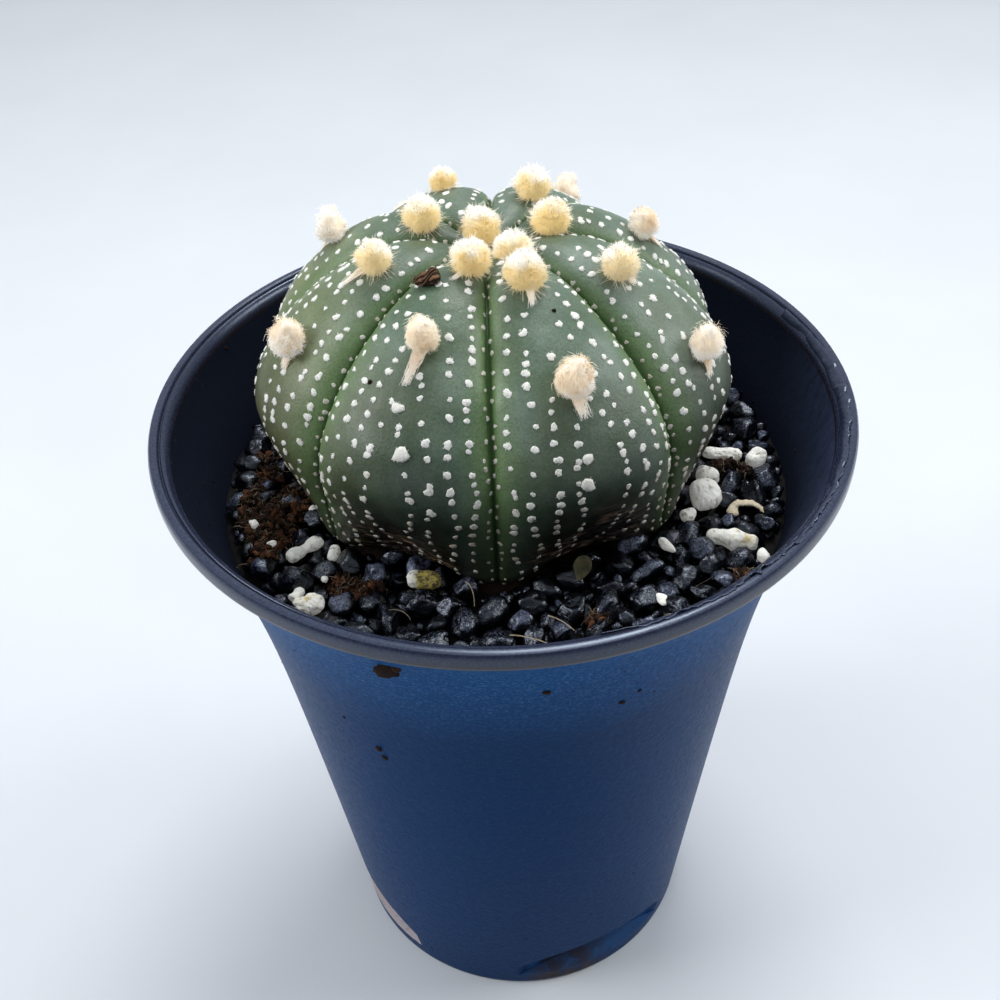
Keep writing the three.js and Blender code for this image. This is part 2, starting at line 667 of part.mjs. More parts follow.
const holder = new THREE.Group();
holder.add(piece('pot', toGeometry(potSolid()), COLOURS.pot, 0.5));

const pottedCactus = new THREE.Group();
pottedCactus.add(holder, fill, plant);

export default pottedCactus;
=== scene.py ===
import math
from functools import reduce

import bmesh
import bpy
import numpy as np
from mathutils import Matrix


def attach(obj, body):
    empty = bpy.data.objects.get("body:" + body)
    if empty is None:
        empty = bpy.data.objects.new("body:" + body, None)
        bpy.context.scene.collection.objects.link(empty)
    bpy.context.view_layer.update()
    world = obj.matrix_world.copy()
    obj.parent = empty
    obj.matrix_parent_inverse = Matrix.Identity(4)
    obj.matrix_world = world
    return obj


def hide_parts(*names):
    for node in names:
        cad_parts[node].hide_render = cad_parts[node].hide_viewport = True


# Potted star cactus: the finished look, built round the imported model.
# Places and sizes are millimetres in the model's frame, with z = 0 under the pot and -Y at the
# front, and become metres in each mesh. Azimuths count from -Y towards +X.

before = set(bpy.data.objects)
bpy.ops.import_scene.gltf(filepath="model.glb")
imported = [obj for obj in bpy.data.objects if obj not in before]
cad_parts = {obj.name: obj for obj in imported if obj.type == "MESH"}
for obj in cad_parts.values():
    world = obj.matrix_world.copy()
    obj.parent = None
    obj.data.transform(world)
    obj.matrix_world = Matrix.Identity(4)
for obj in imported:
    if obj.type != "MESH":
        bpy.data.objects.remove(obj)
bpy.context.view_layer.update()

MM = 0.001

# Pot
RIM_RADIUS = 45
POT_HEIGHT = 100
FOOT_RADIUS = 27.7
WALL = 1.2
DRAFT = 0.104
FLARE = 8.3
FLARE_REACH = 10.8
MOUTH_RADIUS = 42.4
MOUTH_HEIGHT = 98.6
FLOOR_LIFT = 1.5
POT_SIDES = 240
RECESS_COUNT = 4
RECESS_FIRST = 24
RECESS_WIDTH = 28
LEDGE_HEIGHT = 3
RECESS_TOP = 10.5
RECESS_PLANE = 24.9
DRAIN_RADIUS = 3.5
DRAIN_CIRCLE = 17.5
FILM_AZIMUTHS = (12, 112)
# The lip from its lower edge to its top, and the groove inside it, as (inset from the rim, drop
# from the top)
LIP = [(0.5, 2.55), (0.2, 2.45), (0.05, 2.25), (0, 1.9), (0, 0.8), (0.07, 0.4), (0.25, 0.12),
       (0.55, 0.02), (0.9, 0), (1.1, 0.03), (1.2, 0.1)]
LIP_GROOVE = [(1.3, 0.3), (1.38, 0.55), (1.46, 0.58), (1.54, 0.45), (1.65, 0.38), (1.8, 0.44),
              (2.1, 0.75), (2.4, 1.12), (2.55, 1.4), (2.62, 1.7)]

# Fill
MIX_TOP = 84.3
BED_TOP = 86.0
LOOSE_REST = 87.3
FRONT_EDGE = 8  # stones in front of this y are cut finer
# Stones of grit as (size, number of tries), from large to small
TOP_STONES = [(1.9, 400), (1.7, 1500), (1.5, 3500), (1.25, 6000), (1.0, 7000), (0.75, 7000)]
LOW_STONES = [(1.9, 1500), (1.5, 3000), (1.1, 4000)]

# Cactus: two meridians, down the crest of a rib and down a groove, with matching points
PLANT_X = -0.9
PLANT_Y = 4.2
GROOVE_AZIMUTHS = np.array([-1.3, 47.5, 95, 134, 176, 223, 262, 311, 358.7])
RIBS = len(GROOVE_AZIMUTHS) - 1
CREST = np.array([
    (0, 118.7), (3.5, 119.7), (8, 120.9), (13.5, 120.3), (19.2, 117.4), (24.8, 112.9),
    (29, 108), (30.8, 103.2), (29.8, 98.6), (27.8, 94.8), (25.6, 91.4), (23.5, 88.5),
    (12, 85.5), (5, 81), (3.5, 70), (0, 56),
])
GROOVE = np.array([
    (0, 118.7), (3.2, 118.9), (7.7, 119.8), (13, 118.9), (18.4, 116), (23.6, 111.6),
    (27.4, 106.2), (29, 100.8), (28.8, 95.6), (28.3, 91), (27.4, 88), (21, 85.8),
    (12, 85.1), (5, 80), (3.2, 69), (0, 56),
])
LAST_ROW = len(CREST) - 1
SOIL_ROW = 11.9  # below this row the skin is buried
CLEFT_DEPTH = ((0, 1, 2.6, 7, 11, 13), (0, 0.6, 1.1, 1, 0.5, 0))
CLEFT_WIDTH = 0.1
SKIN_COLUMNS = 42  # points across each rib

# Wool tufts as (rib position, row, radius, length of the tail in rows, lean of the tail in ribs).
# Whole rib positions are grooves.
RIB_TUFTS = [
    (0.47, 4.79, 2.6, 0.5, 0.01), (1.38, 3.52, 2.5, 0.35, 0.02), (1.37, 5.5, 2.2, 0.5, -0.04),
    (2.2, 2.03, 2.6, 0, 0), (2.29, 4.12, 2.2, 0.55, 0.03), (3.33, 2.54, 2.5, 0, 0),
    (3.5, 5.2, 2.2, 0.6, 0.01), (4.53, 3.11, 1.9, 0, 0), (4.55, 6.2, 2.2, 0.7, 0.02),
    (5.64, 2.03, 2.6, 0, 0), (5.58, 4.26, 2.3, 0.4, -0.03), (6.62, 3.04, 2.4, 0.75, -0.09),
    (6.63, 5.05, 2.4, 0.4, 0.02), (7.56, 3.97, 2.2, 0.66, -0.06),
]
CROWN_TUFTS = [
    (4.5, 0.63, 2.7, 0, 0), (7.7, 2.06, 2.5, 0.4, -0.14), (1.1, 1.41, 2.6, 0, 0),
    (0.45, 2.74, 2.7, 0.5, -0.04),
]
MATTED_ROW = 3.6  # tufts from this row down are matted and trail a tail
TUFT_SINK = 0.55
RIB_HAIRS = 3000
CROWN_HAIRS = 4200
TAIL_HAIRS = 170
WISP_HAIRS = 60
HAIR_CLUMPS = 220

# Flecks: the distances of their lines from each groove, the rings of one fleck as (share of its
# radius, share of its height), and the large ones as (rib, row, radius)
FLECK_LINES = (0.75, 2.7, 5.2, 7.9, 10.5)
FLECK_SPACING = (1.65, 2.8)
PAIR_SPACING = (0.95, 1.25)
PAIR_SHARE = 0.3
FLECK_LAYERS = [(1.0, -0.1), (0.93, 0.17), (0.72, 0.3), (0.38, 0.37)]
FLECK_SIDES = 10
FLECK_HAIRS = 7
LARGE_FLECKS = [(7.57, 5.86, 0.95), (0.42, 6.64, 0.8), (7.5, 5.1, 0.7), (0.44, 6.1, 0.62)]

# Pumice stones as (x, y, length, width, turn in degrees, knobs)
PUMICE = [
    (-25.7, -14.9, 5.4, 2.5, 38, 2), (-21.9, -15.7, 2.3, 1.5, 80, 1),
    (-24, -25.2, 3.1, 2.5, 15, 1), (-26, -22.7, 2.4, 1.9, 60, 2),
    (-10.8, -21.7, 4.3, 2.5, -8, 2), (29.3, -0.2, 5.6, 2.6, -12, 2),
    (33.5, -2.3, 3.2, 2.8, 40, 1), (26.7, -5, 3.3, 2.5, -30, 1),
    (25.8, -9.5, 4, 3.8, 0, 1), (23.2, -12.2, 1.9, 1.6, 30, 1),
    (28, -17.4, 6, 2.8, -16, 3), (31, -11.3, 3.4, 1.4, 25, 0),
]
MOSSY_STONE = 5
STAINED_STONES = (3, 11)
PUMICE_SEED = 290
# Peat clumps, a dark lump of soil and thinner peat between the stones, as (x, y, length, width,
# turn in degrees, number of crumbs, palest tint)
PEAT = [(-30.9, -9.9, 9.6, 6.4, -60, 230, 1), (-20.2, -21.8, 4.4, 3.6, 0, 80, 1)]
DARK_LUMP = (29.9, -3.4, 5.6, 2.6, -12, 90, 0.35)
LOOSE_PEAT = [
    (10.2, -29.4, 2.3, 2.0, 0, 22, 1), (28.2, -23.7, 3.4, 2.9, 40, 40, 1),
    (-27.5, -5.5, 9, 6.5, 70, 130, 1), (-33.3, -6, 8, 3.4, 80, 80, 1),
    (-31.5, 1.5, 7, 6, 80, 60, 1), (-31, -16, 5, 4, -40, 40, 1), (-18, -22.5, 6, 2.4, 0, 30, 1),
    DARK_LUMP,
]
# Straws as (one end, other end, bow, width)
STRAWS = [
    ((-0.4, -32.6, 89.7), (3.7, -34.3, 89.9), (0.05, 0.08, 0.2), 0.24),
    ((4.1, -30.2, 90.1), (7, -32.6, 89.9), (0.1, 0.08, 0.2), 0.16),
    ((-5.4, -23.7, 89.8), (-4.4, -27.9, 89.8), (0.3, 0.2, 0.4), 0.15),
    ((17.6, -30.6, 89.6), (20.4, -31.8, 89.4), (-0.3, 0.4, 0.3), 0.14),
    ((-14.5, -27.6, 89.6), (-11.9, -29.3, 89.5), (0.3, 0.3, 0.3), 0.1),
    ((24.2, -24.6, 89.5), (21.9, -26.2, 89.6), (0.1, -0.3, 0.3), 0.12),
]
# Small pale stones as (x, y, size). The first is a sliver and the fourth is stained
PEBBLES = [
    (19.6, -18.6, 0.85), (17.8, -27.6, 0.75), (30.9, -21.4, 1.0), (-24.9, -25.1, 1.0),
    (-22.6, -21.3, 0.45), (-29.8, -14.5, 0.6), (-32.5, -10.5, 0.75), (-25, -8.5, 0.6),
    (7.9, -22.4, 0.35),
]
# Crumbs of soil on the pot as (azimuth, height, size, inside), and on the skin as (rib, row)
POT_CRUMBS = [
    (-19.7, 92.2, 1.25, 0), (-18.2, 92.9, 0.6, 0), (5.0, 87.1, 0.45, 0), (19.5, 79.8, 0.35, 0),
    (22.8, 81.3, 0.25, 0), (-30.6, 67.0, 0.5, 0), (-29.7, 65.1, 0.38, 0), (-38.1, 70.9, 0.22, 0),
    (-114.6, 97.2, 0.35, 1), (-101.5, 95.6, 0.3, 1),
]
SKIN_CRUMBS = [(0.56, 3.54), (7.28, 4.82)]
# Fine crumbs strewn on the pot as (number, heights, sizes, inside)
STREWN_CRUMBS = [(46, (86, 97), (0.08, 0.2), 1), (60, (4, 96), (0.05, 0.13), 0)]
HUSK_PLACE = (7.3, 2.75)  # rib and row
SCALE_PLACE = (8.7, -22.7, 90.1)

# Stage, with the softboxes as (name, place, size, power in watts)
FLOOR_REACH = 1500
LIGHTS_AIM = (0, 0, 80)
CAMERA_PLACE = (-0.764, -130.104, 196.009)
CAMERA_PITCH = 0.720867868
CAMERA_ROLL = -0.0499970403
CAMERA_LENS = 45
SOFTBOXES = [
    ("softbox_top", (60, 190, 540), 200, 1.4), ("softbox_left", (-520, -60, 380), 300, 1.9),
    ("softbox_right", (520, 40, 400), 300, 1.6),
]


def srgb(red, green, blue):
    """A colour given as screen values from 0 to 255, as linear light."""
    screen = np.array([red, green, blue]) / 255
    linear = np.where(screen > 0.04045, ((screen + 0.055) / 1.055) ** 2.4, screen / 12.92)
    return tuple(float(channel) for channel in linear)


# Noise

def cell_value(cell, seed):
    """A fixed value from -1 to 1 for each whole numbered cell."""
    mixed = (cell[..., 0] * 374761393 + cell[..., 1] * 668265263 + cell[..., 2] * 1103515245
             + seed * 1274126177) & 0xFFFFFFFF
    mixed = ((mixed ^ (mixed >> 13)) * 1274126177) & 0xFFFFFFFF
    return ((mixed ^ (mixed >> 16)) & 0xFFFFFF) / 0x7FFFFF - 1


def noise(points, size, seed=0):
    """Smooth noise from -1 to 1 whose bumps are about the given size."""
    scaled = np.asarray(points, float) / size
    low = np.floor(scaled).astype(np.int64)
    part = scaled - low
    part = part * part * (3 - 2 * part)
    total = 0
    for corner in np.ndindex(2, 2, 2):
        weight = np.prod(np.where(corner, part, 1 - part), axis=-1)
        total = total + weight * cell_value(low + np.array(corner), seed)
    return total


def rough(points, size, seed=0, octaves=3):
    return sum(noise(points, size / 2**k, seed + k) / 2**k for k in range(octaves))


def smoothstep(low, high, value):
    share = np.clip((value - low) / (high - low), 0, 1)
    return share * share * (3 - 2 * share)


def unit(vectors):
    return vectors / np.maximum(np.linalg.norm(vectors, axis=-1, keepdims=True), 1e-9)


# Meshes

class Heap:
    """Gathers small meshes in millimetres, with named values on their points, for one piece."""

    def __init__(self):
        self.points = []
        self.normals = []
        self.faces = []
        self.values = {}
        self.count = 0

    def add(self, points, faces, normals=None, **values):
        """Adds a mesh. Normals are only given where it is lit by others than its own."""
        points = np.asarray(points, float).reshape(-1, 3)
        self.points.append(points)
        self.normals.append(np.zeros(points.shape) if normals is None else normals)
        self.faces += [np.asarray(block) + self.count for block in faces]
        for key, value in values.items():
            self.values.setdefault(key, []).append(
                np.broadcast_to(np.asarray(value, float).ravel(), len(points)))
        self.count += len(points)

    def close(self, sides, flipped=False):
        """Closes both ends of a heap that holds one tube, whose rings have that many points."""
        ring = np.arange(sides)[None, ::-1 if flipped else 1]
        self.faces += [ring, ring[:, ::-1] + self.count - sides]

    def piece(self, name, material, slot, *stands_for):
        mesh = bpy.data.meshes.new(name)
        corners = np.concatenate([block.ravel() for block in self.faces]).astype(np.int32)
        sides = np.concatenate([np.full(len(block), block.shape[1]) for block in self.faces])
        starts = (np.cumsum(sides) - sides).astype(np.int32)
        mesh.vertices.add(self.count)
        mesh.loops.add(len(corners))
        mesh.polygons.add(len(sides))
        place = np.concatenate(self.points) * MM
        mesh.vertices.foreach_set("co", place.astype(np.float32).ravel())
        mesh.loops.foreach_set("vertex_index", corners)
        mesh.polygons.foreach_set("loop_start", starts)
        mesh.update(calc_edges=True)
        for key, blocks in self.values.items():
            layer = mesh.attributes.new(key, "FLOAT", "POINT")
            layer.data.foreach_set("value", np.concatenate(blocks).astype(np.float32))
        show(name, mesh, material, slot, *stands_for)
        normals = np.concatenate(self.normals)
        if normals.any():
            mesh.normals_split_custom_set_from_vertices(normals)


def show(name, mesh, material, slot, *stands_for):
    """Puts a mesh in the scene as a piece that rides on the part."""
    mesh.shade_smooth()
    mesh.materials.append(material)
    piece = bpy.data.objects.new(name, mesh)
    bpy.context.scene.collection.objects.link(piece)
    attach(piece, "root")
    if stands_for:
        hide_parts(*stands_for)


def grid_faces(rows, columns, closed=True):
    """Quads between the rows of a grid whose points are stored row by row."""
    across = columns if closed else columns - 1
    row, column = np.meshgrid(np.arange(rows - 1), np.arange(across), indexing="ij")
    after = (column + 1) % columns
    quads = [row * columns + column, (row + 1) * columns + column,
             (row + 1) * columns + after, row * columns + after]
    return np.stack(quads, -1).reshape(-1, 4)


def fan(tip, ring, flipped=False):
    """Triangles from a tip to the closed ring of points round it."""
    after = np.roll(ring, -1)
    sides = (after, ring) if flipped else (ring, after)
    return np.stack([np.full(len(ring), tip), *sides], -1)


def circle(sides):
    """Angles evenly spaced round a circle."""
    return np.arange(sides) * 2 * math.pi / sides


def outward(azimuth):
    """Level unit vectors at azimuths in radians."""
    return np.stack([np.sin(azimuth), -np.cos(azimuth), 0 * azimuth], -1)


def ball(level):
    """Points and triangles of an evenly divided unit ball."""
    shape = bmesh.new()
    bmesh.ops.create_icosphere(shape, subdivisions=level, radius=1)
    points = np.array([corner.co for corner in shape.verts])
    faces = np.array([[corner.index for corner in face.verts] for face in shape.faces])
    shape.free()
    return unit(points), faces


BALLS = {level: ball(level) for level in (2, 3, 4)}


def turn_about_z(points, degrees):
    angle = math.radians(degrees)
    turn = np.array([[math.cos(angle), math.sin(angle), 0],
                     [-math.sin(angle), math.cos(angle), 0], [0, 0, 1]])
    return points @ turn


def strands(paths, side, width, tip_width=0.25):
    """Thin ribbons along paths of shape (strands, steps, 3), each wide along its side vector."""
    count, steps = paths.shape[:2]
    along = np.linspace(0, 1, steps)
    taper = (1 - (1 - tip_width) * along)[None, :, None] * np.reshape(width, (-1, 1, 1)) / 2
    edge = side[:, None, :] * taper
    points = np.stack([paths - edge, paths + edge], axis=2).reshape(-1, 3)
    first = (np.arange(count)[:, None] * steps + np.arange(steps - 1)[None, :]).ravel() * 2
    quads = np.stack([first, first + 1, first + 3, first + 2], -1)
    tip = np.broadcast_to(along[None, :, None], (count, steps, 2)).ravel()
    return points, quads, tip


def bent_paths(roots, tips, bend, steps=4):
    """Paths from roots to tips that bow out by the bend vectors half way."""
    along = np.linspace(0, 1, steps)[None, :, None]
    straight = roots[:, None, :] * (1 - along) + tips[:, None, :] * along
    return straight + bend[:, None, :] * (4 * along * (1 - along))


# Cactus skin

def on_line(line, row):
    """A smooth curve through the points of a meridian, at a row."""
    last = len(line) - 1
    row = np.clip(row, 0, last - 1e-9)
    index = np.floor(row).astype(int)
    part = (row - index)[..., None]
    before, start, end, after = (
        line[np.clip(index + step, 0, last)] for step in (-1, 0, 1, 2))
    leave = (end - before) / 2
    arrive = (after - start) / 2
    return ((2 * start - 2 * end + leave + arrive) * part**3
            + (-3 * start + 3 * end - 2 * leave - arrive) * part**2 + leave * part + start)


def crestward(rib):
    """0 in a groove, 1 on the crest of a rib."""
    return 1 - np.abs(2 * (rib % 1) - 1)


def skin_point(rib, row):
    rib, row = np.broadcast_arrays(np.asarray(rib, float) % RIBS, np.asarray(row, float))
    index = np.floor(rib).astype(int)
    across = rib - index
    azimuth = np.radians(
        GROOVE_AZIMUTHS[index] * (1 - across) + GROOVE_AZIMUTHS[index + 1] * across)
    rise = crestward(rib)
    low = np.clip((row - 7) / 4, 0, 1)
    sharp = (1 - rise) ** 2
    smooth = 1 - rise**2 * (3 - 2 * rise)
    share = (sharp + (smooth - sharp) * low)[..., None]
    crest = on_line(CREST, row)
    point = crest + (on_line(GROOVE, row) - crest) * share
    slope = unit(on_line(CREST, row + 1e-3) - on_line(CREST, row - 1e-3))
    cleft = np.interp(row, *CLEFT_DEPTH) * np.exp(-rise / CLEFT_WIDTH)
    radius = np.maximum(point[..., 0] + slope[..., 1] * cleft, 0)
    place = outward(azimuth) * radius[..., None] + [PLANT_X, PLANT_Y, 0]
    place[..., 2] = point[..., 1] - slope[..., 0] * cleft
    return place


def skin_frame(rib, row):
    """Unit vectors at a place on the skin: outwards, down the rib and across it."""
    step = 0.01
    across = skin_point(rib + step, row) - skin_point(rib - step, row)
    down = unit(skin_point(rib, row + step) - skin_point(rib, np.maximum(row - step, 0)))
    out = unit(np.cross(down, across))
    return out, down, np.cross(out, down)


def cork_share(rib, row, points):
    """Where the skin is corky: at the foot of each rib, more on some ribs than on others."""
    foot = smoothstep(7.6, 8.9, row + 0.8 * rough(points, 6, 71))
    foot = foot * (1 - smoothstep(10.4, 11.2, row))
    return foot * smoothstep(0.25, 0.65, crestward(rib) + 0.15 * noise(points, 3, 72))


def cork_lines(rib, row, points):
    """The pattern of fine level wrinkles in the corky skin, from -1 to 1."""
    level = 3.6 * row + 0.8 * noise(points, 4, 73) + 0.5 * noise(points, 1.2, 74)
    return np.sin(2 * math.pi * level) * (0.6 + 0.4 * noise(points, 1.5, 75))


def skin_surface(rib, row):
    """The skin with its own fine relief: soft swells, a sharp crease and corky wrinkles."""
    points = skin_point(rib, row)
    out = skin_frame(rib, row)[0]
    swell = 0.13 * rough(points, 8, 61) * smoothstep(0.3, 2, row)
    crease = -0.3 * np.exp(-crestward(rib) / 0.022) * smoothstep(0.3, 2, row)
    cork = 0.17 * cork_share(rib, row, points) * cork_lines(rib, row, points)
    return points + out * (swell + crease + cork)[..., None]


def build_skin(material):
    step = np.arange(SKIN_COLUMNS) / SKIN_COLUMNS
    across = step - 0.6 * np.sin(2 * math.pi * step) / (2 * math.pi)
    ribs = (np.arange(RIBS)[:, None] + across[None, :]).ravel()
    rows = np.concatenate([
        np.linspace(0.03, 8, 96), np.linspace(8, SOIL_ROW, 72)[1:],
        np.linspace(SOIL_ROW, LAST_ROW - 0.05, 12)[1:],
    ])
    rib, row = np.meshgrid(ribs, rows)
    points = skin_surface(rib, row)
    heap = Heap()
    heap.add(points, [grid_faces(len(rows), len(ribs))], crestward=crestward(rib),
             row=row / LAST_ROW, cork=cork_share(rib, row, points))
    top = heap.count
    ring = np.arange(len(ribs))
    caps = np.stack([skin_point(0.0, 0.0), skin_point(0.0, float(LAST_ROW))])
    heap.add(caps, [], crestward=0.5, row=[0, 1], cork=0)
    heap.faces += [fan(top, ring), fan(top + 1, top - len(ribs) + ring, flipped=True)]
    heap.piece("cactus_skin", material, "cactus", "cactus")


# Woolly flecks

def fleck_places(random):
    """Rows of flecks that run down beside each groove, as rib, row and number of the line."""
    places = []
    rows = np.linspace(0.9, 10.3, 189)
    shares = np.linspace(0, 0.5, 41)
    for rib in range(RIBS):
        for side in (1, -1):
            grid = skin_point(rib + (shares if side > 0 else 1 - shares)[None, :], rows[:, None])
            reach = np.cumsum(np.linalg.norm(np.diff(grid, axis=1), axis=-1), axis=1)
            reach = np.concatenate([np.zeros((len(rows), 1)), reach], axis=1)
            for order, distance in enumerate(FLECK_LINES):
                wander = random.uniform(0, 100)
                gone = random.uniform(0, 2.6)
                for j in range(1, len(rows)):
                    drift = 0.35 * math.sin(wander + rows[j] * 2.1) * (order > 0)
                    at = distance + drift
                    if reach[j, -1] < at + 0.35:
                        continue
                    share = np.interp(at, reach[j], shares)
                    place = rib + (share if side > 0 else 1 - share)
                    gone -= np.linalg.norm(
                        skin_point(place, rows[j]) - skin_point(place, rows[j - 1]))
                    if gone > 0:
                        continue
                    places.append((place, rows[j], order))
                    pair = random.random() < PAIR_SHARE
                    spacing = random.uniform(*FLECK_SPACING) - 0.05 * rows[j]
                    gone = random.uniform(*PAIR_SPACING) if pair else spacing
    return np.array(places)


def clear_of_tufts(ribs, rows, margin):
    points = skin_point(ribs, rows)
    keep = np.ones(len(points), bool)
    for rib, row, radius, _, _ in RIB_TUFTS + CROWN_TUFTS:
        away = np.linalg.norm(points - skin_point(rib, row), axis=-1)
        keep &= away > radius * margin
    return keep


def spread_flecks(random):
    """Each fleck's rib, row, radius and wear, which is 1 where the felt is stained through."""
    places = fleck_places(random)
    places = places[clear_of_tufts(places[:, 0], places[:, 1], 0.95)]
    count = len(places)
    rib = places[:, 0] + random.normal(0, 0.006, count)
    row = places[:, 1] + random.normal(0, 0.03, count)
    in_groove = places[:, 2] == 0
    radius = np.where(in_groove, random.uniform(0.2, 0.34, count),
                      random.uniform(0.28, 0.53, count))
    radius *= 1 - 0.3 * smoothstep(6.8, 9.5, row)
    worn = smoothstep(5.6, 8.8, row) * random.uniform(0.15, 1, count)
    worn = np.maximum(worn, np.where(in_groove, random.uniform(0.2, 0.7, count), 0))
    large = [*np.array(LARGE_FLECKS).T, np.full(len(LARGE_FLECKS), 0.15)]
    return np.append([rib, row, radius, worn], large, axis=1)


def in_plane(angle, across, down):
    """Directions in the skin's plane at angles of shape (places, directions)."""
    return (np.cos(angle)[..., None] * across[:, None, :]
            + np.sin(angle)[..., None] * down[:, None, :])


def build_flecks(material):
    random = np.random.default_rng(5)
    rib, row, radius, worn = spread_flecks(random)
    count = len(rib)
    out, down, across = skin_frame(rib, row)
    centre = skin_surface(rib, row)
    angle = circle(FLECK_SIDES)
    phase = random.uniform(0, 2 * math.pi, (4, count, 1))
    pull = random.uniform(0.04, 0.24, (3, count, 1))
    outline = (1 + pull[0] * np.cos(2 * angle + phase[0]) + 0.7 * pull[1] * np.cos(
        3 * angle + phase[1]) + 0.4 * pull[2] * np.cos(5 * angle + phase[2]))
    point_at = np.exp(-((np.mod(angle - phase[3] + math.pi, 2 * math.pi) - math.pi) / 0.35) ** 2)
    outline = outline + random.uniform(0, 0.5, (count, 1)) ** 2 * point_at
    height = radius * np.where(radius > 0.6, 1.0, random.uniform(0.5, 0.8, count))
    flat = in_plane(angle[None, :], across, down)
    rings = []
    for reach, lift in FLECK_LAYERS:
        spread = (outline * radius[:, None] * reach)[..., None]
        jitter = random.normal(0, 0.026, (count, FLECK_SIDES, 1))
        rings.append(centre[:, None, :] + flat * (spread + jitter)
                     + out[:, None, :] * (height[:, None, None] * lift + jitter))
    top = centre + out * (height * 0.39)[:, None]
    points = np.concatenate([*rings, top[:, None, :]], axis=1)
    per = points.shape[1]
    base = np.arange(count)[:, None, None] * per
    walls = grid_faces(len(FLECK_LAYERS), FLECK_SIDES)[:, ::-1] + base
    tops = fan(per - 1, np.arange(per - 1 - FLECK_SIDES, per - 1)) + base
    heap = Heap()
    heap.add(points, [walls.reshape(-1, 4), tops.reshape(-1, 3)], worn=np.repeat(worn, per))

    flat = in_plane(random.uniform(0, 2 * math.pi, (count, FLECK_HAIRS)), across, down)
    root = centre[:, None, :] + flat * (0.7 * radius)[:, None, None] + out[:, None, :] * (
        0.35 * radius)[:, None, None]
    length = random.uniform(1.0, 1.3, (count, FLECK_HAIRS, 1)) * radius[:, None, None]
    tip = centre[:, None, :] + flat * length + out[:, None, :] * 0.06
    side = np.cross(flat, out[:, None, :]).reshape(-1, 3)
    paths = bent_paths(root.reshape(-1, 3), tip.reshape(-1, 3),
                       0.04 * np.repeat(out, FLECK_HAIRS, axis=0), 3)
    points, quads, _ = strands(paths, side, np.full(len(paths), 0.09))
    heap.add(points, [quads], worn=np.repeat(worn, FLECK_HAIRS * 6))
    heap.piece("skin_flecks", material, "cactus", "cactus")


# Wool

def sphere_ways(count):
    """Directions spread evenly over a sphere."""
    index = np.arange(count) + 0.5
    height = 1 - 2 * index / count
    angle = index * math.pi * (3 - math.sqrt(5))
    flat = np.sqrt(1 - height**2)
    return np.stack([flat * np.cos(angle), flat * np.sin(angle), height], -1)


def pale_share(ways, foot):
    """Where a tuft's hairs are bleached: on its upper side and in patches."""
    return smoothstep(-0.15, 0.85, 0.5 * noise(ways * 1.8 + foot, 1, 84) + ways @ [0, 0.55, 0.75])


def lit_side(ways, random):
    """Ribbon sides that turn the ribbons' flats upwards and forwards, with some scatter."""
    flat = np.array([0, -0.5, 0.87]) + random.normal(0, 0.35, ways.shape)
    return unit(np.cross(ways, flat))


